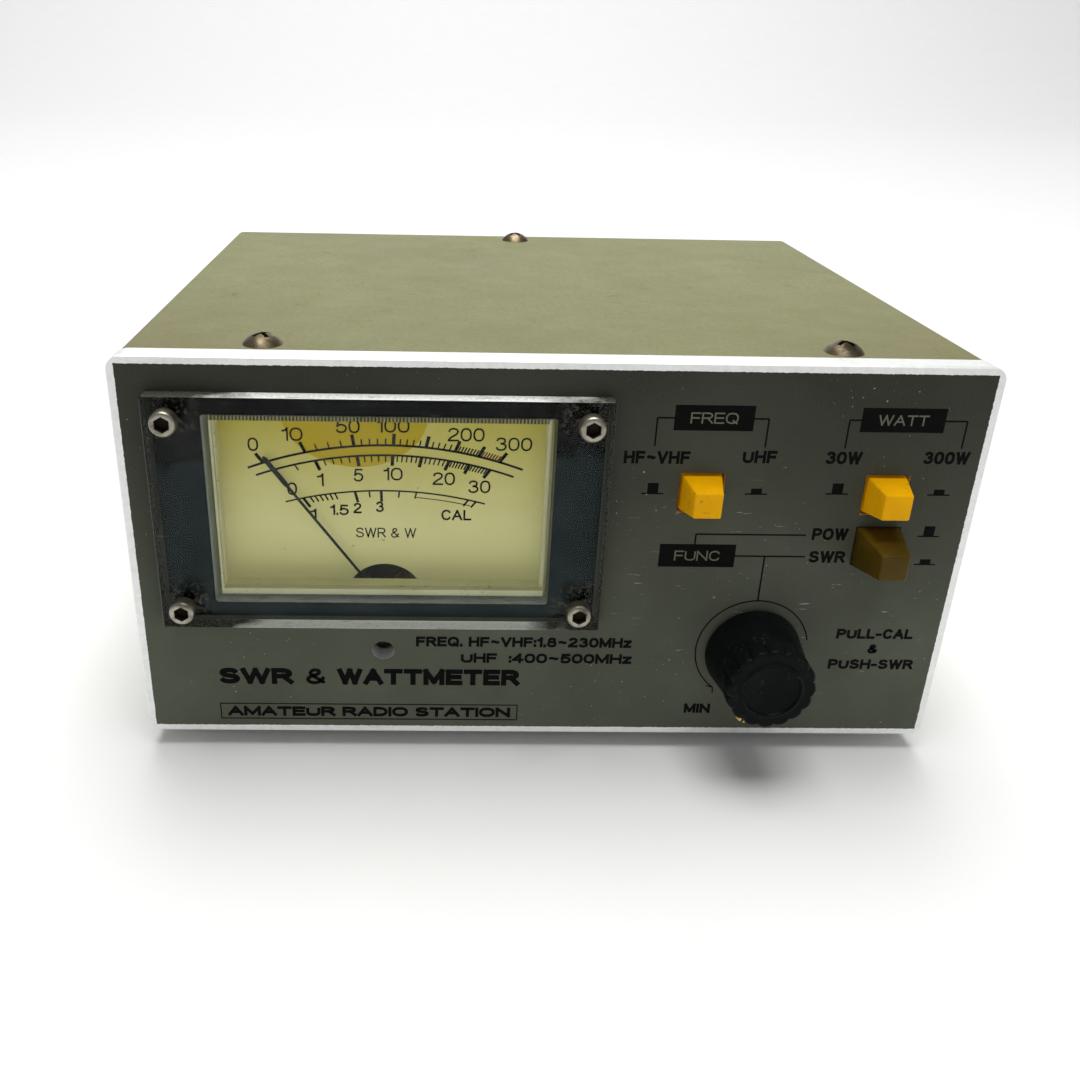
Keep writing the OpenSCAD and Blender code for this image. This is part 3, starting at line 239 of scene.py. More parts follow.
def letters(text, x0, z0, x1, z1, stroke, y_front, depth, rear=False):
    """A word in strokes of even width, stretched to fill a rectangle and facing the front or the rear. Each
    sign's centre lines keep half a stroke inside its own box."""
    tall = z1 - z0
    signs = [SIGNS[sign].split() for sign in text]
    wide = np.array([float(sign[0]) for sign in signs])
    gap = 0.75 * stroke + 0.13 * tall
    stretch = (x1 - x0 - stroke - gap * (len(text) - 1)) / wide.sum()
    start = x0 + stroke / 2 + np.concatenate([[0], np.cumsum(wide * stretch + gap)[:-1]])
    lift = (tall - stroke) / 10
    parts = []
    for left, sign in zip(start, signs):
        for mark in sign[1:]:
            values = np.array([float(v) for v in mark.strip("~o").split(",")])
            if mark[0] == "o":
                turn = np.linspace(0, 2 * math.pi, 33)
                cos, sin = np.cos(turn), np.sin(turn)
                half = (values[2:] - values[:2]) / 2
                oval = np.column_stack([np.sign(part) * np.abs(part) ** OVAL_POWER for part in (cos, sin)])
                lines = [values[:2] + half + half * oval]
            elif mark[0] == "~":
                lines = [curve_through(values.reshape(-1, 2))]
            else:
                dots = values.reshape(-1, 2)
                lines = [dots[i:i + 2] for i in range(len(dots) - 1)]
            for line in lines:
                line = line * (stretch, lift) + (left, z0 + stroke / 2)
                if len(line) == 2:
                    reach = line[1] - line[0]
                    reach *= stroke / 2 / max(np.linalg.norm(reach), 1e-9)
                    line = np.stack([line[0] - reach, line[1] + reach])
                if rear:
                    line[:, 0] = x0 + x1 - line[:, 0]
                step = (len(parts) % 4) * STROKE_STEP
                near = y_front + step if not rear else y_front
                far = y_front + depth if not rear else y_front + depth - step
                parts.append(ribbon(line, stroke, near, far))
    return merge(parts)


# ---------------------------------------------------------------- finishes


class Finish:
    """A material put together node by node round one Principled shader. Lengths in patterns are in
    metres."""

    def __init__(self, name, color=(0.5, 0.5, 0.5), roughness=0.5, metallic=0.0, **fixed):
        self.material = bpy.data.materials.new(name)
        self.material.use_nodes = True
        self.tree = self.material.node_tree
        self.shader = self.tree.nodes["Principled BSDF"]
        self.out = self.tree.nodes["Material Output"]
        self.object = self.tree.nodes.new("ShaderNodeTexCoord").outputs["Object"]
        self.set("Base Color", (*color, 1))
        self.set("Roughness", roughness)
        self.set("Metallic", metallic)
        for key, value in fixed.items():
            self.set(key.replace("_", " ").title().replace("Ior", "IOR"), value)

    def put(self, socket, value):
        if isinstance(value, bpy.types.NodeSocket):
            self.tree.links.new(value, socket)
        else:
            socket.default_value = value

    def set(self, name, value):
        self.put(self.shader.inputs[name], value)

    def add(self, kind, inputs=(), **settings):
        node = self.tree.nodes.new("ShaderNode" + kind)
        for key, value in settings.items():
            setattr(node, key, value)
        for key, value in dict(inputs).items():
            self.put(node.inputs[key], value)
        return node

    def noise(self, scale, detail=3.0, rough=0.5, stretch=None, turn=(0, 0, 0)):
        """Fractal noise with features 1/scale metres across, stretched and turned where asked."""
        place = self.object
        if stretch is not None:
            mapping = self.add("Mapping", {"Vector": place, "Scale": stretch, "Rotation": turn})
            place = mapping.outputs["Vector"]
        return self.add("TexNoise", {"Vector": place, "Scale": scale, "Detail": detail,
                                     "Roughness": rough}).outputs["Fac"]

    def level(self, value, low, high, to_low=0.0, to_high=1.0):
        """Ramp from to_low to to_high as value goes from low to high."""
        node = self.add("MapRange", {"Value": value, "From Min": low, "From Max": high,
                                     "To Min": to_low, "To Max": to_high}, clamp=True)
        return node.outputs["Result"]

    def drift(self, scale, detail, low, high, rough=0.5):
        """Noise spread out to wander from low to high."""
        return self.level(self.noise(scale, detail, rough), 0.3, 0.7, low, high)

    def calc(self, operation, a, b=0.0):
        node = self.add("Math", operation=operation)
        self.put(node.inputs[0], a)
        self.put(node.inputs[1], b)
        return node.outputs[0]

    def plus(self, a, b):
        return self.calc("ADD", a, b)

    def minus(self, a, b):
        return self.calc("SUBTRACT", a, b)

    def size(self, a):
        return self.calc("ABSOLUTE", a)

    def both(self, a, b):
        return self.calc("MULTIPLY", a, b)

    def either(self, a, b):
        return self.calc("MAXIMUM", a, b)

    def mix(self, share, a, b):
        node = self.add("Mix", data_type="RGBA")
        self.put(node.inputs[0], share)
        self.put(node.inputs[6], a if isinstance(a, bpy.types.NodeSocket) else (*a, 1))
        self.put(node.inputs[7], b if isinstance(b, bpy.types.NodeSocket) else (*b, 1))
        return node.outputs[2]

    def flecks(self, fine, fine_range, wide, wide_range):
        """Small marks: the peaks of a fine noise, only where a wide noise is high as well."""
        return self.both(self.level(self.noise(*fine), *fine_range), self.level(self.noise(*wide), *wide_range))

    def axes(self):
        node = self.add("SeparateXYZ", {"Vector": self.object})
        return node.outputs[0], node.outputs[1], node.outputs[2]

    def bump(self, height, distance):
        node = self.add("Bump", {"Height": height, "Distance": distance})
        self.set("Normal", node.outputs["Normal"])

    def spot(self, x, z, half_x, half_z, soft=0.25):
        """1 inside an ellipse on the face, falling to 0 at its edge."""
        px, _, pz = self.axes()
        dx = self.calc("DIVIDE", self.minus(px, x), half_x)
        dz = self.calc("DIVIDE", self.minus(pz, z), half_z)
        far = self.calc("SQRT", self.plus(self.both(dx, dx), self.both(dz, dz)))
        return self.level(far, 1 - soft, 1 + soft, 1.0, 0.0)


def worn_metal(name, color, dull, roughness=0.3, tarnish=0.4, grain=900.0):
    """Bare or plated metal: fine grain in its roughness, and duller, darker patches of tarnish."""
    f = Finish(name, color, roughness, 1.0)
    patches = f.level(f.noise(grain * 0.35, 5, 0.6), 0.62 - 0.25 * tarnish, 0.7)
    fine = f.noise(grain * 4, 2)
    f.set("Base Color", f.mix(f.both(patches, tarnish), color, dull))
    f.set("Roughness", f.plus(f.level(fine, 0.3, 0.7, roughness * 0.8, roughness * 1.2),
                              f.both(patches, 0.25)))
    f.bump(fine, 0.004 * MM)
    return f.material


def moulded(name, color, shade, roughness=0.4, speck=None, grain=2500.0, shine=0.5):
    """Moulded plastic or rubber: faint colour drift, a fine skin texture, and dust or dirt specks."""
    f = Finish(name, color, roughness, specular_ior_level=shine)
    drift = f.noise(120, 3)
    tint = f.mix(f.level(drift, 0.35, 0.65), color, shade)
    if speck is not None:
        marks = f.flecks((1500, 4, 0.65), (0.6, 0.68), (160, 2), (0.45, 0.6))
        tint = f.mix(marks, tint, speck)
    f.set("Base Color", tint)
    skin = f.noise(grain, 2)
    f.set("Roughness", f.drift(300, 3, roughness * 0.85, roughness * 1.2))
    f.bump(skin, 0.01 * MM)
    return f.material


def panel_finish(settings):
    """Dark grey paint over satin aluminium: the paint stops short of the panel's edges, it is cloudy, it has
    pale scratches round the controls, and painted shade darkens it towards the top."""
    f = Finish("panel_finish", roughness=0.5, specular_ior_level=0.1)
    x, y, z = f.axes()
    ragged = f.drift(1500, 3, -0.06 * MM, 0.06 * MM)
    half = PANEL_HI.x - BORDER
    inside_x = f.level(f.plus(f.size(x), ragged), half, half + 0.05 * MM, 1, 0)
    low = f.level(f.plus(z, ragged), PAINT_Z - 0.05 * MM, PAINT_Z)
    high = f.level(f.plus(z, ragged), PANEL_HI.z - BORDER, PANEL_HI.z - BORDER + 0.05 * MM, 1, 0)
    front = f.level(y, FACE_Y + 0.2 * MM, FACE_Y + 0.3 * MM, 1, 0)
    painted = f.both(f.both(inside_x, front), f.both(low, high))
    cloud = f.level(f.noise(45, 5, 0.6), 0.35, 0.65)
    paint = f.mix(cloud, settings.panel_paint, tuple(0.78 * c for c in settings.panel_paint))
    # Painted shade: the paint is mixed much darker towards the panel's top, standing in for the light falling
    # off there
    painted_shade_towards_top = f.level(f.plus(z, f.drift(30, 4, -8 * MM, 8 * MM)),
                    PAINT_Z + 16 * MM, PANEL_HI.z, 0, 0.9)
    paint = f.mix(painted_shade_towards_top, paint, tuple(0.18 * c for c in settings.panel_paint))
    paint = f.mix(f.level(f.noise(5000, 1), 0.3, 0.75, 0, 0.25), paint, (0.12, 0.125, 0.1))
    used = f.either(f.spot(KNOB[0], KNOB[2] + 14 * MM, 30 * MM, 14 * MM, 0.6),
                    f.spot(KNOB[0] + 24 * MM, KNOB[2] + 4 * MM, 12 * MM, 20 * MM, 0.6))
    lines = f.either(f.level(f.noise(160, 3, 0.6, (1, 1, 14), (0, 0.6, 0)), 0.69, 0.71),
                     f.level(f.noise(150, 3, 0.6, (1, 1, 16), (0, -0.9, 0)), 0.7, 0.72))
    scratches = f.both(used, f.both(lines, f.level(f.noise(300, 2), 0.5, 0.6)))
    specks = f.flecks((1800, 2), (0.73, 0.76), (60, 2), (0.5, 0.6))
    paint = f.mix(f.either(scratches, specks), paint, (0.45, 0.46, 0.42))
    metal = f.mix(f.level(f.noise(900, 4, 0.6), 0.4, 0.7), (0.9, 0.91, 0.9), (0.82, 0.83, 0.82))
    f.set("Base Color", f.mix(painted, metal, paint))
    f.set("Metallic", f.level(painted, 0, 1, 0.6, 0))
    f.set("Roughness", f.level(painted, 0, 1, 0.45, 0.52))
    f.bump(f.noise(4000, 2), 0.004 * MM)
    return f.material


def cover_finish(settings):
    """Matt khaki enamel with a faint orange peel, worn patches, and a few dark nicks."""
    f = Finish("cover_enamel", roughness=0.6, specular_ior_level=0.12)
    c = settings.cover_paint
    tone = f.mix(f.level(f.noise(28, 5, 0.6), 0.3, 0.7), c, tuple(0.86 * v for v in c))
    tone = f.mix(f.level(f.noise(1100, 6, 0.75), 0.4, 0.66, 0, 0.6), tone, tuple(0.62 * v for v in c))
    _, y, _ = f.axes()
    grubby = f.level(y, FACE_Y + 6 * MM, FACE_Y + 60 * MM, 0.5, 0)
    sides = f.level(f.size(f.axes()[0]), 30 * MM, 72 * MM, 0.25, 1)
    tone = f.mix(f.both(grubby, sides), tone, (0.16, 0.14, 0.06))
    stains = f.flecks((240, 5, 0.7), (0.6, 0.68), (35, 3), (0.5, 0.6))
    tone = f.mix(f.both(stains, 0.5), tone, (0.16, 0.12, 0.05))
    nicks = f.flecks((700, 2, 0.5), (0.76, 0.79), (90, 2), (0.48, 0.56))
    f.set("Base Color", f.mix(nicks, tone, (0.03, 0.025, 0.02)))
    f.set("Roughness", f.drift(120, 3, 0.52, 0.66))
    f.bump(f.minus(f.noise(1500, 3), f.both(nicks, 2.0)), 0.02 * MM)
    return f.material


def dial_finish(settings):
    """Cream scale paint, yellower towards the lamp, with an amber scorch below it, and a green cast; it also
    glows with its own colour as painted light.
    """
    f = Finish("dial_paint", roughness=0.55, specular_ior_level=0.2)
    _, _, z = f.axes()
    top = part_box("scale_plate")[1].z
    glow = f.level(f.plus(z, f.drift(60, 3, -3 * MM, 3 * MM)),
                   top - 26 * MM, top - 1 * MM)
    tone = f.mix(glow, settings.dial_paint, (0.46, 0.39, 0.03))
    wobble = f.drift(110, 3, -0.18, 0.18)
    scorch = f.spot(PIVOT[0] - 5 * MM, PIVOT[2] + 37.5 * MM, 13.0 * MM, 10.4 * MM, 0.06)
    scorch = f.level(f.plus(scorch, f.both(wobble, scorch)), 0.35, 0.45)
    tone = f.mix(f.both(scorch, 0.97), tone, (0.46, 0.34, 0.0))
    dirt = f.flecks((1600, 3), (0.7, 0.74), (110, 2), (0.52, 0.6))
    f.set("Base Color", f.mix(f.both(dirt, 0.8), tone, (0.08, 0.06, 0.03)))
    f.bump(f.noise(3000, 2), 0.006 * MM)
    # Painted light: the dial glows with its own colour though it is no lamp, to brighten it in its shaded
    # recess
    f.set("Emission Color", tone)
    f.set("Emission Strength", settings.dial_painted_glow)
    return f.material


def mask_finish():
    """Gloss black print behind the window plate: a painted blue-grey reflection on the lower and side bands,
    and brown-grey scuffs round the screws."""
    f = Finish("mask_print", (0.004, 0.006, 0.006), 0.12, specular_ior_level=0.05)
    lo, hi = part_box("window_plate")
    x, _, z = f.axes()
    wave = f.drift(110, 6, -4.0 * MM, 4.0 * MM, 0.65)
    # Painted reflection: a blue-grey band over the lower part and up the lower corners, standing in for the
    # floor seen in the gloss
    below = f.level(f.plus(z, wave), hi.z - 12 * MM, hi.z - 9 * MM, 1, 0)
    off = f.size(f.minus(x, (lo.x + hi.x) / 2))
    corner = f.plus(f.minus(f.plus(off, wave), z), lo.z)
    reach = (hi.x - lo.x) / 2 - 10.1 * MM
    lower = f.level(corner, reach, reach + 1 * MM, 1, 0)
    painted_reflection = f.both(below, lower)
    tone = f.mix(painted_reflection, (0.0006, 0.001, 0.0008), (0.014, 0.023, 0.026))
    rub = f.both(f.level(f.noise(1200, 4, 0.7), 0.5, 0.62), 0.8)
    near = None
    screws_lo, screws_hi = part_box("window_screws")
    for sx in (screws_lo.x + SCREW_HEAD_R, screws_hi.x - SCREW_HEAD_R):
        for sz in (screws_lo.z + SCREW_HEAD_R, screws_hi.z - SCREW_HEAD_R):
            here = f.spot(sx, sz, 4.2 * MM, 3.6 * MM, 0.5)
            near = here if near is None else f.either(near, here)
    tone = f.mix(f.both(rub, near), tone, (0.13, 0.11, 0.085))
    f.set("Base Color", tone)
    f.set("Roughness", f.drift(500, 3, 0.1, 0.2))
    return f.material


def clear_finish(name, tint):
    """Clear plastic sheet: light goes straight through with a faint tint, and the gloss grows towards
    grazing angles, with finger haze and fine scratches."""
    haze, roughness = 0.004, 0.06
    f = Finish(name, (0.82, 0.87, 0.87), roughness, 1.0)
    smear = f.level(f.noise(90, 4, 0.6), 0.45, 0.7, haze * 0.2, haze * 1.6)
    hair = f.level(f.noise(220, 3, 0.6, (1, 1, 18), (0, 0.7, 0)), 0.71, 0.74, 0, 0.2)
    grazing = f.add("Fresnel", {"IOR": 1.12}).outputs[0]
    upright = f.add("SeparateXYZ", {"Vector": f.add("NewGeometry").outputs["Normal"]}).outputs[1]
    # Painted light: faces that do not face along y, the lens's side walls, are made mostly opaque and pale with
    # streaks, standing in for light caught on them
    wall = f.level(f.size(upright), 0.25, 0.75, 1, 0)
    streak = f.level(f.noise(300, 3, 0.6, (1, 4, 4)), 0.35, 0.65, 0.4, 0.95)
    share = f.plus(f.plus(grazing, smear), f.plus(f.both(hair, 0.5), f.both(wall, streak)))
    f.set("Metallic", f.level(wall, 0, 1, 1, 0))
    f.set("Roughness", f.level(wall, 0, 1, roughness, 0.4))
    see = f.add("BsdfTransparent", {"Color": (*tint, 1)})
    join = f.add("MixShader")
    f.put(join.inputs[0], share)
    f.put(join.inputs[1], see.outputs[0])
    f.put(join.inputs[2], f.shader.outputs[0])
    f.put(f.out.inputs["Surface"], join.outputs[0])
    f.bump(f.noise(180, 3), 0.004 * MM)
    return f.material


def edge_finish(name, bright, dark, middle):
    """Sawn and polished edge of clear plastic, in painted light: bright along its middle as painted highlight,
    darker towards both ends, with a few dark streaks between, and a faint painted glow."""
    f = Finish(name, bright, 0.3)
    drift = f.drift(120, 3, -6 * MM, 6 * MM)
    off = f.size(f.minus(f.plus(f.axes()[0], drift), middle))
    ends = f.level(off, 24 * MM, 32 * MM)
    streak = f.level(f.noise(200, 4, 0.7, (0.6, 4, 4)), 0.58, 0.7, 0, 0.7)
    tone = f.mix(f.either(ends, streak), bright, dark)
    # Painted light: the edge also glows faintly with its own colour, though it is no lamp
    f.set("Base Color", tone)
    f.set("Emission Color", tone)
    f.set("Emission Strength", 0.12)
    f.set("Roughness", f.drift(1500, 2, 0.15, 0.4))
    f.bump(f.noise(900, 3), 0.01 * MM)
    return f.material


def ribs_finish():
    """Ribbed strip of the lens: olive ridges with painted shade in the grooves, one for every rib along x."""
    f = Finish("lens_rib_strip", roughness=0.35)
    wave = f.calc("SINE", f.both(f.axes()[0], 2 * math.pi / RIB_PITCH))
    groove_painted_shade = f.level(f.plus(wave, f.drift(500, 2, -0.3, 0.3)), -0.4, 0.3, 1, 0)
    f.set("Base Color", f.mix(groove_painted_shade, f.mix(f.noise(80, 2), (0.42, 0.4, 0.18), (0.3, 0.26, 0.1)),
                              (0.03, 0.03, 0.015)))
    return f.material


def ink(name, color):
    """Silk-screen ink: matt, a little uneven, with pinholes where it has worn."""
    f = Finish(name, color, 0.55, specular_ior_level=0.05)
    worn = f.level(f.noise(2600, 3, 0.6), 0.66, 0.72, 0, 0.5)
    f.set("Base Color", f.mix(worn, color, tuple(min(1, 1.3 * c + 0.003) for c in color)))
    f.set("Roughness", f.drift(700, 2, 0.45, 0.65))
    return f.material


def make_finishes(settings):
    """All the materials by name."""
    return {
        "panel": panel_finish(settings),
        "cover": cover_finish(settings),
        "dial": dial_finish(settings),
        "mask": mask_finish(),
        "clear": clear_finish("clear_window", (0.985, 0.99, 0.98)),
        "lens": clear_finish("clear_lens", (0.99, 0.992, 0.975)),
        # Painted light: a bright copy for the top and bottom edges as painted highlight, and a dark copy for
        # the side edges as painted shade
        "edge": edge_finish("window_edge_painted_highlight", (0.86, 0.87, 0.82), (0.06, 0.06, 0.045), PIVOT[0] + 3 * MM),
        "edge_painted_shade": edge_finish("window_edge_painted_shade", (0.16, 0.17, 0.16), (0.05, 0.05, 0.045), PIVOT[0]),
        "ribs": ribs_finish(),
        "ink": ink("black_ink", (0.0025, 0.0028, 0.0025)),
        "pale_ink": ink("panel_grey_ink", tuple(1.2 * c for c in settings.panel_paint)),
        "red_ink": ink("red_ink", (0.16, 0.02, 0.012)),
        "needle": moulded("needle_black", (0.01, 0.01, 0.01), (0.02, 0.02, 0.02), 0.5, shine=0.2),
        "cream": moulded("cream_moulding", (0.86, 0.84, 0.6), (0.78, 0.75, 0.5), 0.35, (0.3, 0.25, 0.12)),
        "amber": moulded("amber_caps", settings.amber, tuple(0.86 * c for c in settings.amber), 0.32,
                         (0.35, 0.18, 0.02), 1800.0, shine=0.06),
        # Painted shade: a much darker copy of the amber for the function button's cap, standing in for the
        # shadow that falls on it
        "amber_painted_shade": moulded("amber_cap_painted_shade", settings.amber_painted_shade, tuple(0.6 * c for c in settings.amber_painted_shade),
                             0.36, (0.03, 0.02, 0.008), 1800.0, shine=0.1),
        "black": moulded("black_moulding", settings.knob_black, (0.005, 0.007, 0.007), 0.34,
                         (0.03, 0.034, 0.034), shine=0.05),
        "white": moulded("white_moulding", (0.75, 0.74, 0.68), (0.66, 0.64, 0.56), 0.4, (0.3, 0.27, 0.2)),
        "blue": moulded("blue_moulding", (0.03, 0.09, 0.35), (0.02, 0.07, 0.3), 0.3),
        "rubber": moulded("foot_rubber", (0.018, 0.018, 0.017), (0.03, 0.03, 0.028), 0.75,
                          (0.12, 0.11, 0.1), 900.0),
        "phenolic": moulded("brown_phenolic", (0.2, 0.1, 0.04), (0.14, 0.07, 0.03), 0.5),
        "laminate": moulded("board_laminate", (0.17, 0.09, 0.03), (0.12, 0.06, 0.02), 0.35, (0.3, 0.2, 0.1)),
        "parts": moulded("component_bodies", (0.3, 0.2, 0.11), (0.2, 0.13, 0.07), 0.3),
        "ptfe": moulded("white_dielectric", (0.8, 0.8, 0.76), (0.72, 0.72, 0.66), 0.45),
        "cable": moulded("wire_covering", (0.12, 0.02, 0.02), (0.09, 0.015, 0.015), 0.4),
        "screw": worn_metal("tarnished_screws", (0.2, 0.16, 0.1), (0.015, 0.01, 0.006), 0.3, 0.95, 700.0),
        # Painted shade: near-black for the screws' six-sided recesses, where shade falls
        "recess": moulded("recess_painted_shade", (0.012, 0.01, 0.008), (0.03, 0.022, 0.015), 0.7, shine=0.1),
        "cap_screw": worn_metal("window_screw_nickel", (0.36, 0.34, 0.28), (0.06, 0.045, 0.03), 0.34, 0.75,
                                1200.0),
        "socket": worn_metal("socket_nickel", (0.62, 0.6, 0.55), (0.3, 0.27, 0.2), 0.22, 0.3, 500.0),
        "steel": worn_metal("plated_sheet", (0.55, 0.55, 0.53), (0.36, 0.35, 0.32), 0.38, 0.35, 300.0),
        "tin": worn_metal("tinplate", (0.64, 0.64, 0.62), (0.42, 0.41, 0.38), 0.3, 0.3, 350.0),
        "brass": worn_metal("brass", (0.62, 0.42, 0.16), (0.25, 0.14, 0.05), 0.3, 0.45),
        "copper": worn_metal("enamelled_copper", (0.5, 0.2, 0.08), (0.25, 0.1, 0.05), 0.3, 0.3),
        "magnet": worn_metal("magnet_alloy", (0.2, 0.21, 0.2), (0.1, 0.1, 0.1), 0.4, 0.4),
        "lamp": moulded("lamp_glass", (0.7, 0.6, 0.4), (0.6, 0.5, 0.3), 0.1),
    }


NODE_FINISH = {
    "panel": "front_panel",
    "cover": "top_cover",
    "dial": "scale_plate",
    "lens": "meter_lens",
    "needle": "pointer",
    "cream": "meter_bezel",
    "white": "meter_base freq_plunger watt_plunger func_plunger pull_slider trim_rotor_hf "
             "trim_rotor_uhf",
    # zero_screw takes the black moulding as painted shade, so that its hole reads dark, though the screw is
    # white plastic
    "black": "switch_bodies pull_switch dc_jack zero_screw",
    "blue": "trim_pots",
    "rubber": "rubber_feet lamp_grommet",
    "phenolic": "pot_wiper",
    "laminate": "switch_board",
    "parts": "board_parts",
    "ptfe": "socket_insulators",
    "cable": "wires",
    "screw": "cover_screws",
    "cap_screw": "panel_screws foot_screws socket_screws jewel_screws meter_terminals "
                 "board_standoffs switch_springs",
    "socket": "pot_nut pot_case pot_shaft line_conductors",
    "steel": "chassis coupler_boxes",
    "tin": "coupler_lids",
    "brass": "front_bridge rear_bridge zero_arm pot_bushing knob_screw socket_contacts "
             "hairsprings",
    "copper": "moving_coil pickup_lines",
    "magnet": "core_magnet yoke_ring",
    "lamp": "dial_lamp",
}


# ---------------------------------------------------------------- settings


def colour_setting(label, description, default):
    """A colour that the panel in the sidebar shows."""
    return bpy.props.FloatVectorProperty(name=label, description=description, subtype="COLOR", size=3,
                                         default=default, min=0, max=1)


def length_setting(label, description, default):
    """A length that the panel in the sidebar shows."""
    return bpy.props.FloatProperty(name=label, description=description, default=default, unit="LENGTH")


class MeterColours(bpy.types.PropertyGroup):
    """Colours of the painted and moulded surfaces."""

    panel_paint: colour_setting("Panel paint", "Paint on the front panel", (0.108, 0.118, 0.084))
    cover_paint: colour_setting("Cover enamel", "Enamel on the folded cover", (0.262, 0.262, 0.135))
    dial_paint: colour_setting("Dial paint", "Paint on the scale plate", (0.74, 0.71, 0.36))
    amber: colour_setting("Amber caps", "Plastic of the two upper button caps", (0.98, 0.48, 0.002))
    # Painted shade: the function button's cap is a darker copy of the amber
    amber_painted_shade: colour_setting("Smoked cap", "Plastic of the function button's cap", (0.1, 0.062, 0.005))
    knob_black: colour_setting("Knob plastic", "Plastic of the calibration knob", (0.003, 0.004, 0.004))
    # Painted light: how strongly the dial glows with its own colour, though it is no lamp
    dial_painted_glow: bpy.props.FloatProperty(
        name="Dial brightness", description="Light that the translucent dial gives back", default=0.2,
        min=0, max=2)


class MeterSizes(bpy.types.PropertyGroup):
    """Sizes of the finer details."""

    pane_bevel: length_setting("Window bevel", "Bevel round the window plate", 0.08 * MM)
    cap_edge: length_setting("Cap edge radius", "Rounding of the button caps' edges", 0.3 * MM)
    lobe_depth: length_setting("Knob lobe depth", "Depth of the hollows between the knob's lobes",
                               0.55 * MM)
    thread_pitch: length_setting("Thread pitch", "Pitch of the coaxial sockets' thread", 1.058 * MM)
    thread_depth: length_setting("Thread depth", "Depth of the coaxial sockets' thread", 0.6 * MM)
    print_depth: length_setting("Print thickness", "Thickness of the printed lettering", 0.03 * MM)


FINISHES = {}


def finish(name):
    """The material of that name; all are made on first use."""
    if not FINISHES:
        FINISHES.update(make_finishes(bpy.context.scene.meter_colours))
    return FINISHES[name]


class MeterPiece:
    """What the operators share: they work in any context and can be undone."""

    bl_options = {"REGISTER", "UNDO"}

    def execute(self, context):
        self.build(context.scene.meter_sizes)
        return {"FINISHED"}


# ---------------------------------------------------------------- pieces


class METER_OT_finishes(MeterPiece, bpy.types.Operator):
    """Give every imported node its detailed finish"""

    bl_idname = "meter.finishes"
    bl_label = "Finish the packed nodes"

    def build(self, sizes):
        for name, nodes in NODE_FINISH.items():
            for node in nodes.split():
                mesh = frame["nodes"][node].data
                mesh.materials.clear()
                mesh.materials.append(finish(name))


class METER_OT_window(MeterPiece, bpy.types.Operator):
    """Build the clear window plate, the black mask printed behind it and the ribs along its top"""

    bl_idname = "meter.window"
    bl_label = "Window"

    def build(self, sizes):
        lo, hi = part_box("window_plate")
        middle = np.array([(lo.x + hi.x) / 2, (lo.z + hi.z) / 2])
        half_w, half_h = (hi.x - lo.x) / 2, (hi.z - lo.z) / 2
        outline = soft_rect_path(half_w, half_h, 0.5 * MM) + middle
        mask_back = FACE_Y - 0.01 * MM
        mask_front = FACE_Y - 0.05 * MM
        points, faces = slab(outline, lo.y, mask_front - 0.01 * MM, sizes.pane_bevel)
        pane = put_mesh("window_pane", points, faces,
                        [finish("clear"), finish("edge"), finish("edge_painted_shade")])
        normal = np.empty(len(faces) * 3)
        pane.data.polygons.foreach_get("normal", normal)
        normal = np.abs(normal.reshape(-1, 3))
        # Front and back faces take the clear finish; top and bottom edges the bright edge copy (painted
        # highlight), side edges the dark copy (painted shade)
        kind = np.where(normal[:, 1] > 0.8, 0, np.where(normal[:, 0] > normal[:, 2], 2, 1))
        pane.data.polygons.foreach_set("material_index", kind.astype(np.int32))
        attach(pane, "root")
        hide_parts("window_plate")

        left, right = -60.1 * MM, 0.1 * MM
        bottom, top = PAINT_Z + 26.9 * MM, PAINT_Z + 62.5 * MM
        hole = soft_rect_path((right - left) / 2, (top - bottom) / 2, 0.5 * MM)
        hole += np.array([(left + right) / 2, (bottom + top) / 2])
        rim = soft_rect_path(half_w - 0.9 * MM, half_h - 0.9 * MM, 0.5 * MM) + middle
        mask = put_mesh("window_mask", *ring_slab(rim, hole, mask_front, mask_back), [finish("mask")])
        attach(mask, "root")

        # Ribs: depth follows a sine along x, and the band's foot and head are straight
        x = np.linspace(left + 1.2 * MM, right - 1.4 * MM, 961)
        wave = -0.1 * MM * np.sin(2 * math.pi * x / RIB_PITCH)
        front = FACE_Y + 0.15 * MM
        z0, z1 = top - 1.0 * MM, top - 0.15 * MM
        rows = [np.column_stack([x, front + wave, np.full_like(x, z)]) for z in (z0, z1)]
        rows += [np.column_stack([x, np.full_like(x, front + 0.14 * MM), np.full_like(x, z)])
                 for z in (z1, z0)]
        ribs = put_mesh("lens_ribs", np.stack(rows, 1), loft(np.stack(rows, 1)), [finish("ribs")])
        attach(ribs, "root")


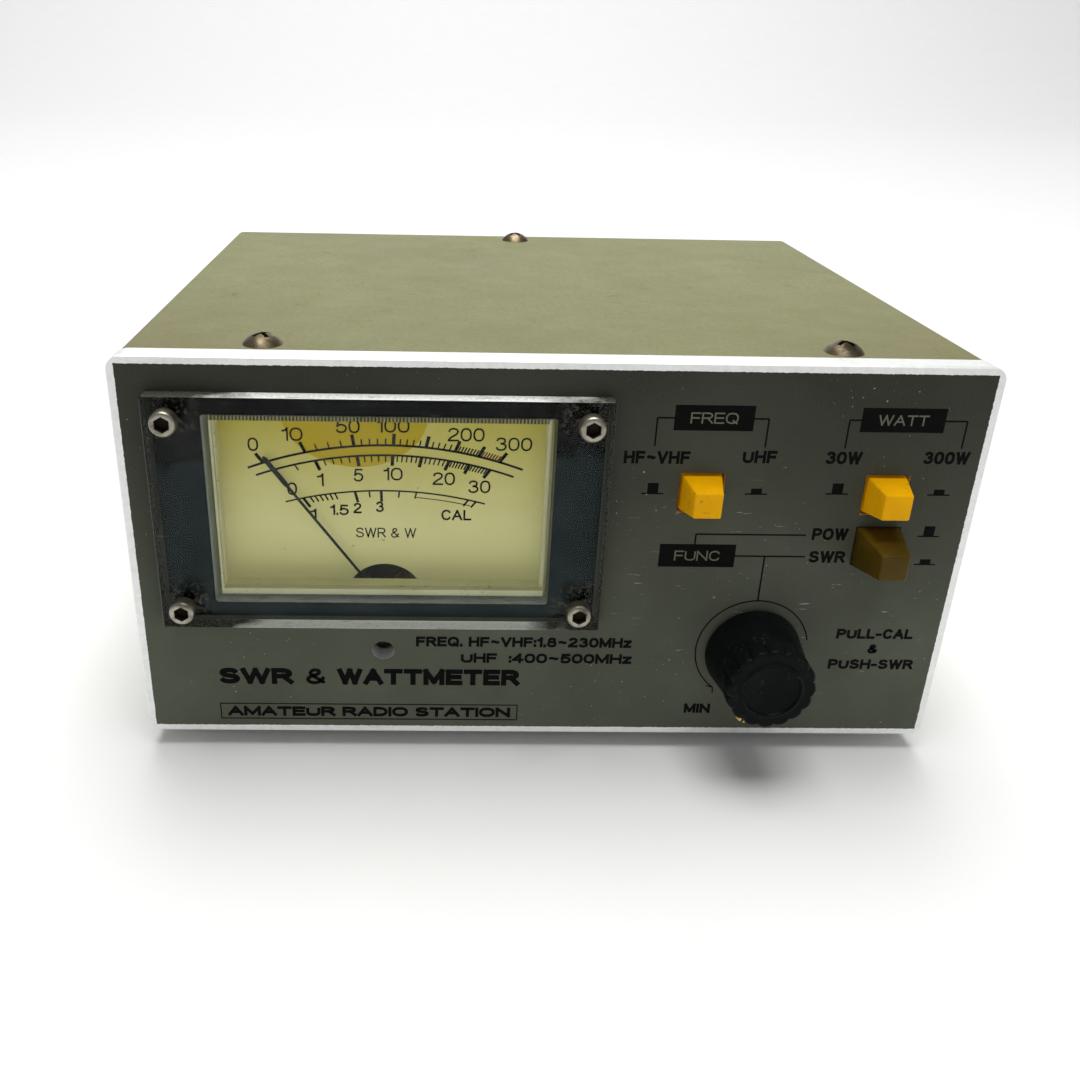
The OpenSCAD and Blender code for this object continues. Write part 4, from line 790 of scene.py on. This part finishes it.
class METER_OT_dial(MeterPiece, bpy.types.Operator):
    """Print the arcs, ticks and numbers on the scale plate"""

    bl_idname = "meter.dial"
    bl_label = "Dial print"

    def build(self, sizes):
        front = DIAL_Y - sizes.print_depth
        parts, red = [], []

        def at(x, z):
            """Place on the dial: x from the panel's centre line, z above the paint's lower edge."""
            return np.array([x * MM, PAINT_Z + z * MM])

        def through(a, b, c):
            """Centre and radius of the circle through three points."""
            m = np.array([b - a, c - b]) * 2
            centre = np.linalg.solve(m, [b @ b - a @ a, c @ c - b @ b])
            return centre, np.linalg.norm(a - centre)

        def arc(a, b, c):
            """Curved centre line from a to c through b, and what turns a share of it into a place."""
            centre, radius = through(a, b, c)
            t0 = math.atan2(a[0] - centre[0], a[1] - centre[1])
            t1 = math.atan2(c[0] - centre[0], c[1] - centre[1])
            def place(share, outward=0.0):
                t = t0 + (t1 - t0) * np.asarray(share, float)
                r = radius + outward
                return np.stack([centre[0] + r * np.sin(t), centre[1] + r * np.cos(t)], -1)
            return place

        def lay(line, width, into=parts):
            into.append(ribbon(line, width * MM, front, DIAL_Y))

        def ticks(place, shares, length, width, outward, into=parts):
            for share in shares:
                toward = place(share, outward * MM * 0.01) - place(share)
                slant = (place(share) - PIVOT[[0, 2]])
                slant = slant / np.linalg.norm(slant)
                side = 1 if np.dot(toward, slant) > 0 else -1
                start = place(share)
                lay(np.stack([start, start + side * slant * length * MM]), width, into)

        power = arc(at(-54.4, 49.5), at(-31.0, 54.1), at(-4.7, 49.7))
        share = np.linspace(0, 1, 81)
        lay(power(share), 0.42)
        low = arc(at(-53.0, 48.1), at(-31.0, 52.2), at(-6.3, 48.3))
        lay(low(share), 0.38)
        swr = arc(at(-47.9, 42.9), at(-31.1, 45.3), at(-11.4, 42.9))
        lay(swr(share), 0.3)

        # Main marks of each scale as shares of its arc, and how many steps lie between them
        upper = [(0.06, 0), (0.215, 1), (0.39, 4), (0.529, 5), (0.644, 5), (0.748, 5), (0.833, 8), (0.911, 8)]
        lower = [(0.075, 0), (0.235, 2), (0.395, 5), (0.53, 5), (0.64, 6), (0.745, 6), (0.825, 7),
                 (0.905, 7)]
        for place, marks, outward, long in ((power, upper, 1, 2.2), (low, lower, -1, 2.0)):
            for (start, _), (end, steps) in zip(marks, marks[1:]):
                between = np.linspace(start, end, steps + 1)[1:-1]
                warm = red if outward > 0 and start > 0.8 else parts
                ticks(place, between, 1.25, 0.27, outward, warm)
            ticks(place, [m[0] for m in marks], long, 0.62, outward)
        ticks(swr, [0.09, 0.35, 0.48], 2.2, 0.5, -1)
        ticks(swr, [0.125, 0.15, 0.175, 0.2, 0.225, 0.25, 0.42, 0.57, 0.655], 1.3, 0.3, -1)
        ticks(swr, [0.915, 0.955], 1.5, 0.36, -1)
        lay(swr(np.linspace(0.655, 0.93, 30), -1.05 * MM), 0.16)

        def word(text, x, z, height, width, stroke=0.34):
            c = at(x, z)
            parts.append(letters(text, c[0] - width * MM / 2, c[1] - height * MM / 2,
                                 c[0] + width * MM / 2, c[1] + height * MM / 2, stroke * MM, front,
                                 sizes.print_depth))

        for text, x, z, width in (("0", -53.2, 54.0, 1.9), ("10", -46.1, 56.0, 3.7), ("50", -36.2, 57.6, 4.3),
                                  ("100", -28.1, 57.8, 5.8), ("200", -15.1, 56.3, 6.6),
                                  ("300", -6.5, 54.6, 6.6)):
            word(text, x, z, 2.55, width)
        for text, x, z, width in (("0", -46.6, 45.5, 1.8), ("1", -41.4, 47.3, 1.2), ("5", -34.5, 48.3, 1.8),
                                  ("10", -28.2, 48.6, 3.5), ("20", -19.0, 47.8, 4.1),
                                  ("30", -12.5, 46.3, 4.1)):
            word(text, x, z, 2.5, width)
        for text, x, z, width in (("1", -42.9, 40.5, 1.1), ("1.5", -38.1, 41.4, 3.4), ("2", -34.8, 41.8, 1.5),
                                  ("3", -30.7, 42.1, 1.5), ("CAL", -16.6, 40.6, 5.6)):
            word(text, x, z, 2.1, width, 0.36)
        word("SWR & W", -29.6, 36.85, 2.0, 11.2, 0.24)
        dial = put_mesh("dial_print", *merge(parts), [finish("ink")])
        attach(dial, "root")
        warm = put_mesh("dial_print_red", *merge(red), [finish("red_ink")])
        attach(warm, "root")


class METER_OT_lettering(MeterPiece, bpy.types.Operator):
    """Print the front panel's boxes, lines, button symbols and words"""

    bl_idname = "meter.lettering"
    bl_label = "Panel lettering"

    def build(self, sizes):
        front = FACE_Y - sizes.print_depth
        black, pale = [], []

        def up(z):
            return PAINT_Z + z * MM

        def box(x0, z0, x1, z1):
            corners = np.array([(x0, z0), (x0, z1), (x1, z1), (x1, z0)]) * MM + (0, PAINT_Z)
            black.append(slab(corners, front, FACE_Y))

        def line(*points, width=0.28):
            for a, b in zip(points, points[1:]):
                ends = np.array([a, b], float) * MM + (0, PAINT_Z)
                black.append(ribbon(ends, width * MM, front, FACE_Y))

        def word(text, x0, z0, x1, z1, stroke=0.52):
            black.append(letters(text, x0 * MM, up(z0), x1 * MM, up(z1), stroke * MM, front,
                                 sizes.print_depth))

        def boxed(text, x0, z0, x1, z1):
            box(x0, z0, x1, z1)
            dx, dz = 0.2 * (x1 - x0), 0.28 * (z1 - z0)
            pale.append(letters(text, (x0 + dx) * MM, up(z0 + dz), (x1 - dx) * MM, up(z1 - dz), 0.27 * MM,
                                front - sizes.print_depth, sizes.print_depth))

        boxed("FREQ", 19.8, 60.8, 33.4, 65.3)
        boxed("WATT", 51.7, 60.9, 66.1, 65.2)
        boxed("FUNC", 19.7, 34.9, 33.4, 39.4)
        line((19.9, 63.0), (16.9, 63.0), (16.9, 57.9))
        line((33.3, 63.0), (35.9, 63.0), (35.9, 57.9))
        line((51.8, 63.0), (49.7, 63.0), (49.7, 57.9))
        line((66.0, 63.0), (69.9, 63.0), (69.9, 58.1))
        line((25.9, 39.3), (25.9, 41.4), (45.6, 41.4))
        line((33.3, 37.15), (46.1, 37.15))
        line((38.8, 37.15), (38.8, 28.1))
        for text, *place in (("HF~VHF", 11.8, 54.7, 23.2, 57.0), ("UHF", 32.3, 55.0, 38.2, 57.3),
                             ("30W", 46.7, 55.0, 53.0, 57.3), ("300W", 63.7, 55.2, 71.7, 57.5),
                             ("POW", 46.7, 40.5, 53.1, 42.8), ("SWR", 46.8, 36.0, 53.4, 38.3),
                             ("PULL-CAL", 54.6, 20.2, 69.0, 22.3), ("&", 61.0, 17.0, 63.0, 19.0),
                             ("PUSH-SWR", 54.1, 13.6, 70.3, 15.7), ("MIN", 27.8, 3.4, 32.8, 5.5),
                             ("FREQ. HF~VHF:1.8~230MHz", -23.8, 17.8, 16.4, 19.9),
                             ("UHF  :400~500MHz", -15.4, 14.3, 16.7, 16.4),
                             ("SWR", -60.9, 9.3, -46.9, 12.8, 1.0), ("&", -44.6, 9.3, -40.6, 12.8, 0.7),
                             ("WATTMETER", -38.6, 9.3, -4.2, 12.8, 1.0)):
            word(text, *place)
        # Symbols of a button that stands out, and of one pressed in
        for x, z, out in ((17.35, 49.0, 1), (35.55, 49.1, 0), (49.75, 49.3, 1), (67.75, 49.3, 0),
                          (67.6, 41.3, 1), (68.1, 35.7, 0)):
            line((x - 1.95, z + 0.12), (x + 1.95, z + 0.12), width=0.24)
            box(x - 0.95, z + 0.2, x + 0.95, z + (2.1 if out else 1.15))
        centre = (KNOB[0] / MM, (KNOB[2] - PAINT_Z) / MM)
        ring = circle_line(*centre, KNOB_RING, -143, 78, 90) * MM + (0, PAINT_Z)
        black.append(ribbon(ring, 0.24 * MM, front, FACE_Y))
        tip = circle_line(*centre, KNOB_RING, -143, -142, 2)[0]
        line(tip + (-1.3, 0.35), tip, tip + (0.1, -1.3), width=0.24)
        box(-61.1, 4.75, -4.3, 4.95)
        box(-61.1, 1.4, -4.3, 1.6)
        box(-61.1, 1.6, -60.9, 4.75)
        box(-4.5, 1.6, -4.3, 4.75)
        word("AMATEUR RADIO STATION", -59.7, 2.1, -5.7, 4.25, 0.6)
        legend = put_mesh("panel_print", *merge(black), [finish("ink")])
        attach(legend, "root")
        light = put_mesh("panel_print_pale", *merge(pale), [finish("pale_ink")])
        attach(light, "root")


class METER_OT_rear_marks(MeterPiece, bpy.types.Operator):
    """Print the words beside the rear sockets"""

    bl_idname = "meter.rear_marks"
    bl_label = "Rear lettering"

    def build(self, sizes):
        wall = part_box("chassis")[1].y
        parts = []
        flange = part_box("hf_barrels")
        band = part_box("uhf_barrels")
        above = flange[1].z + 8.0 * MM

        def word(text, x, z, height, width):
            half = width * MM / 2
            parts.append(letters(text, x - half, z, x + half, z + height * MM, 0.4 * MM, wall,
                                 sizes.print_depth, rear=True))

        for (lo, hi), name in ((flange, "HF~VHF"), (band, "UHF")):
            word(name, (lo.x + hi.x) / 2, above + 5 * MM, 3.2, 17 if "~" in name else 9)
            for x, text in ((lo.x + BARREL_R, "TX"), (hi.x - BARREL_R, "ANT")):
                word(text, x, above, 2.6, 4.4 if text == "TX" else 7)
        word("DC 12V", 0.0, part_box("dc_jack")[0].z - 5.5 * MM, 2.4, 12)
        marks = put_mesh("rear_print", *merge(parts), [finish("ink")])
        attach(marks, "root")


class METER_OT_buttons(MeterPiece, bpy.types.Operator):
    """Build the three tapered button caps with rounded edges"""

    bl_idname = "meter.buttons"
    bl_label = "Button caps"

    def build(self, sizes):
        # The function button's cap takes the darker amber copy, as painted shade
        for node, body, colour in (("freq_cap", "freq_button", "amber"), ("watt_cap", "watt_button", "amber"),
                                   ("func_cap", "func_button", "amber_painted_shade")):
            lo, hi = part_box(node)
            x, z = (lo.x + hi.x) / 2, (lo.z + hi.z) / 2
            w, h = (hi.x - lo.x) / 2, (hi.z - lo.z) / 2
            edge = sizes.cap_edge
            # Depth from the front face, the share of full width there, and how far the edge is drawn in:
            # a quarter circle at the face, then straight to the skirt
            turn = np.linspace(0, math.pi / 2, 6)
            depth = np.concatenate([edge * (1 - np.cos(turn)), np.linspace(edge, CAP_TAPER, 8)[1:],
                                    [CAP_TAPER + 0.3 * MM, hi.y - lo.y]])
            inset = np.concatenate([edge * (1 - np.sin(turn)), np.zeros(9)])
            width = CAP_SLIM + (1 - CAP_SLIM) * np.clip(depth / CAP_TAPER, 0, 1)
            rings = []
            for d, i, s in zip(depth, inset, width):
                path = soft_rect_path(w * s - i, h * s - i, max(0.35 * MM, 0.9 * i), 5)
                rings.append(np.column_stack([x + path[:, 0], np.full(len(path), lo.y + d), z + path[:, 1]]))
            rings = np.stack(rings)
            cap = put_mesh(f"{node}_moulding", rings, loft(rings), [finish(colour)], crease=40)
            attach(cap, body)
            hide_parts(node)


class METER_OT_knob(MeterPiece, bpy.types.Operator):
    """Build the calibration knob: tapered body, sixteen lobes at its nose and a raised ring on its face"""

    bl_idname = "meter.knob"
    bl_label = "Calibration knob"

    def build(self, sizes):
        lo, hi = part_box("cal_knob")
        base = (hi.x - lo.x) / 2
        length = hi.y - lo.y
        depth = sizes.lobe_depth
        # (distance back from the nose, radius, share of the lobes' depth cut away)
        face = [(0.45, 0.01, 0), (0.45, 4.6, 0), (0.4, 4.78, 0), (0.1, 4.95, 0), (0.0, 5.05, 0), (0.0, 5.3, 0),
                (0.1, 5.42, 0), (0.42, 5.6, 0), (0.5, 5.8, 0), (0.5, 6.6, 0), (0.5, 7.0, 0.5)]
        edge = [(0.5 + 0.7 * (1 - math.cos(a)), 7.3 + 0.7 * math.sin(a), 1) for a in np.linspace(0.1, 1.57, 7)]
        lobed = [(d, 8.0, 1) for d in (1.6, 2.2, 2.8, 3.3)] + [(3.7, 7.95, 0.8), (4.0, 7.8, 0.4)]
        skirt = [(d, 7.72 + (base / MM - 7.72) * (d - 4.2) / (length / MM - 4.2), 0)
                 for d in np.linspace(4.2, length / MM - 0.4, 10)]
        foot = [(length / MM - 0.1, base / MM - 0.05, 0), (length / MM, base / MM - 0.3, 0),
                (length / MM, base / MM - 1.4, 0), (length / MM - 3.4, base / MM - 1.6, 0),
                (length / MM - 3.4, 3.02, 0)]
        profile = np.array(face + edge + lobed + skirt + foot)
        share = profile[:, 2][:, None]

        def lobes(r, angle):
            """Radius less the hollows: a cosine without its sign gives round lobes with sharp valleys."""
            hollow = 1 - np.abs(np.cos(8 * angle)) ** 0.75
            return r - depth * share * hollow

        steps = np.column_stack([profile[:, 0] * MM, profile[:, 1] * MM])
        points, faces = spin(steps, (KNOB[0], lo.y, KNOB[2]), 320, lobes)
        knob = put_mesh("cal_knob_moulding", points, faces, [finish("black")], crease=42)
        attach(knob, "cal_control")
        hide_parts("cal_knob")


class METER_OT_window_screws(MeterPiece, bpy.types.Operator):
    """Build the four socket-cap screws of the window: knurled heads with six-sided recesses"""

    bl_idname = "meter.window_screws"
    bl_label = "Window screws"

    def build(self, sizes):
        lo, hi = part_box("window_screws")
        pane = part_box("window_plate")[0].y
        tall = pane - lo.y
        parts = []
        for x in (lo.x + SCREW_HEAD_R, hi.x - SCREW_HEAD_R):
            for z in (lo.z + SCREW_HEAD_R, hi.z - SCREW_HEAD_R):
                # (depth behind the head's face, radius, 0 for round and 1 for six-sided, knurl)
                profile = np.array([(1.4, 0.02, 1, 0), (1.4, 0.6, 1, 0), (1.35, 1.12, 1, 0), (0.12, 1.12, 1, 0),
                                    (0.0, 1.24, 1, 0), (0.0, 1.75, 0, 0), (0.06, 1.95, 0, 0), (0.2, 2.1, 0, 0),
                                    (0.35, 2.19, 0, 0.3), (0.5, 2.24, 0, 1), (tall / MM - 0.1, 2.24, 0, 1),
                                    (tall / MM, 2.15, 0, 0.3), (tall / MM, 1.3, 0, 0), (4.0, 1.3, 0, 0)])
                six, knurl = profile[:, 2][:, None], profile[:, 3][:, None]

                def shape(r, angle):
                    """A hexagon's radius is its half width over the cosine of the angle from a flat's middle;
                    the knurl is a fine ripple."""
                    off = (angle + math.pi / 6) % (math.pi / 3) - math.pi / 6
                    return (r * (1 - six) + six * r / np.cos(off)
                            - knurl * 0.06 * MM * (0.5 + 0.5 * np.cos(36 * angle)))

                parts.append(spin(profile[:, :2] * MM, (x, lo.y, z), SCREW_SIDES, shape))
        points, faces = merge(parts)
        # The recess is the skin between the first five rows of each screw, and the cap on its floor; it gets
        # the near-black recess finish as painted shade
        each = len(faces) // 4
        dark = np.arange(len(faces)) % each
        dark = (dark < 4 * SCREW_SIDES) | (dark == each - 2)
        screws = put_mesh("window_cap_screws", points, faces, [finish("cap_screw"), finish("recess")],
                          dark.astype(int), crease=35)
        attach(screws, "root")
        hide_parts("window_screws")


class METER_OT_sockets(MeterPiece, bpy.types.Operator):
    """Build the coaxial sockets' shells: square flanges and threaded barrels"""

    bl_idname = "meter.sockets"
    bl_label = "Socket shells"

    def build(self, sizes):
        for pair, core in (("hf", 5.65), ("uhf", 4.05)):
            lo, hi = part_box(f"{pair}_barrels")
            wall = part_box("chassis")[1].y
            face = lo.y
            z = (lo.z + hi.z) / 2
            parts = []
            for x in (lo.x + BARREL_R, hi.x - BARREL_R):
                outer = soft_rect_path(FLANGE_W / 2, FLANGE_W / 2, 2 * MM, 12) + (x, z)
                angle = np.arctan2(outer[:, 1] - z, outer[:, 0] - x)
                inner = np.column_stack([x + core * MM * np.cos(angle), z + core * MM * np.sin(angle)])
                parts.append(ring_slab(outer, inner, wall, face))
                sides = 96
                turn = np.linspace(0, 2 * math.pi, sides, endpoint=False)
                length = hi.y - face
                step = np.linspace(0, length - 0.8 * MM, int(length / sizes.thread_pitch * 8))
                # Thread: a triangle wave of the axial place less one pitch for each whole turn
                phase = step[:, None] / sizes.thread_pitch - turn[None, :] / (2 * math.pi)
                wave = np.abs(2 * (phase - np.floor(phase + 0.5)))
                start = np.clip(step / (0.8 * MM), 0, 1)[:, None]
                radius = BARREL_R - sizes.thread_depth * wave * start
                y = face + np.repeat(step[:, None], sides, 1)
                end = [(length - 0.35 * MM, BARREL_R - 0.65 * MM), (length, BARREL_R - 1.0 * MM),
                       (length, core * MM + 0.3 * MM), (length - 0.3 * MM, core * MM),
                       (0.0, core * MM)]
                radius = np.vstack([radius] + [np.full(sides, r) for _, r in end])
                y = np.vstack([y] + [np.full(sides, face + d) for d, _ in end])
                rings = np.stack([x + radius * np.cos(turn), y, z + radius * np.sin(turn)], 2)
                faces = lattice_faces(len(rings), sides, wrap_rows=True)
                parts.append((rings.reshape(-1, 3), [f[::-1] for f in faces]))
            shells = put_mesh(f"{pair}_socket_shells", *merge(parts), [finish("socket")], crease=30)
            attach(shells, "root")
            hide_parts(f"{pair}_barrels", *(["socket_flanges"] if pair == "hf" else []))


class METER_OT_stage(MeterPiece, bpy.types.Operator):
    """Set up the pale floor, the soft light and the camera"""

    bl_idname = "meter.stage"
    bl_label = "Stage"

    def build(self, sizes):
        scene = bpy.context.scene
        # Floor that runs level, turns up through a quarter circle and goes on as the backdrop
        bend = np.linspace(0, math.pi / 2, 24)
        y = np.concatenate([[-3.0], 1.6 + 1.2 * np.sin(bend), [2.8]])
        z = np.concatenate([[0.0], 1.2 * (1 - np.cos(bend)), [4.0]])
        sheet = np.stack([np.column_stack([np.full_like(y, x), y, z]) for x in (-4.0, 4.0)], 1)
        floor = put_mesh("floor", sheet, lattice_faces(len(y), 2, wrap_columns=False), [])
        f = Finish("floor_card", (0.9, 0.9, 0.9), 0.8)
        f.set("Base Color", f.mix(f.noise(40, 3), (0.92, 0.92, 0.92), (0.89, 0.89, 0.89)))
        floor.data.materials.append(f.material)
        world = bpy.data.worlds.new("studio")
        scene.world = world
        world.use_nodes = True
        world.node_tree.nodes["Background"].inputs[0].default_value = (1.0, 1.0, 1.0, 1)
        world.node_tree.nodes["Background"].inputs[1].default_value = WORLD_LIGHT
        for name, place, aim, size, power, tint in (
                ("overhead", (0.0, -0.12, 1.2), (0, 0, 0), 0.7, 9.6, (1.0, 1.0, 0.98)),
                ("backdrop", (0.0, 1.2, 2.6), (0, 2.4, 0.5), 1.6, 45.0, (1.0, 1.0, 1.0))):
            data = bpy.data.lights.new(name, "AREA")
            data.size = size
            data.energy = power
            data.color = tint
            lamp = bpy.data.objects.new(name, data)
            scene.collection.objects.link(lamp)
            point_at(lamp, place, aim)
        camera = bpy.data.cameras.new("camera")
        camera.lens = CAMERA_LENS
        camera.sensor_width = 36
        camera.shift_x = CAMERA_SHIFT
        camera.clip_start = 0.01
        view = bpy.data.objects.new("camera", camera)
        scene.collection.objects.link(view)
        pitch, yaw, roll = CAMERA_PITCH, CAMERA_YAW, CAMERA_ROLL
        ahead = np.array([math.sin(yaw) * math.cos(pitch), math.cos(yaw) * math.cos(pitch), -math.sin(pitch)])
        level = np.array([math.cos(yaw), -math.sin(yaw), 0])
        rise = np.cross(level, ahead)
        right = math.cos(roll) * level + math.sin(roll) * rise
        top = math.cos(roll) * rise - math.sin(roll) * level
        turned = Matrix([list(row) for row in np.column_stack([right, top, -ahead])]).to_4x4()
        view.matrix_world = Matrix.Translation(CAMERA_PLACE) @ turned
        scene.camera = view
        scene.view_settings.view_transform = "Standard"


def point_at(obj, place, aim):
    """Puts an object at a place with its -Z axis towards aim."""
    ahead = np.array(aim, float) - place
    ahead /= np.linalg.norm(ahead)
    side = np.cross(ahead, (0, 0, 1.0) if abs(ahead[2]) < 0.99 else (0, 1.0, 0))
    side /= np.linalg.norm(side)
    turned = Matrix([list(row) for row in np.column_stack([side, np.cross(side, ahead), -ahead])]).to_4x4()
    obj.matrix_world = Matrix.Translation(place) @ turned


OPERATORS = (METER_OT_stage, METER_OT_finishes, METER_OT_window, METER_OT_dial, METER_OT_lettering,
             METER_OT_rear_marks, METER_OT_buttons, METER_OT_knob, METER_OT_window_screws, METER_OT_sockets)


class METER_PT_panel(bpy.types.Panel):
    """Lists the meter's colours, sizes and pieces."""

    bl_label = "SWR meter"
    bl_idname = "METER_PT_panel"
    bl_space_type = "VIEW_3D"
    bl_region_type = "UI"
    bl_category = "SWR meter"

    def draw(self, context):
        for group in (context.scene.meter_colours, context.scene.meter_sizes):
            column = self.layout.column()
            for key in group.__annotations__:
                column.prop(group, key)
        for operator in OPERATORS:
            self.layout.operator(operator.bl_idname)


CLASSES = (MeterColours, MeterSizes, *OPERATORS, METER_PT_panel)


def register():
    for cls in CLASSES:
        bpy.utils.register_class(cls)
    bpy.types.Scene.meter_colours = bpy.props.PointerProperty(type=MeterColours)
    bpy.types.Scene.meter_sizes = bpy.props.PointerProperty(type=MeterSizes)


def unregister():
    del bpy.types.Scene.meter_sizes
    del bpy.types.Scene.meter_colours
    for cls in reversed(CLASSES):
        bpy.utils.unregister_class(cls)


def main():
    register()
    for operator in OPERATORS:
        group, name = operator.bl_idname.split(".")
        getattr(getattr(bpy.ops, group), name)()


if __name__ == "__main__":
    main()
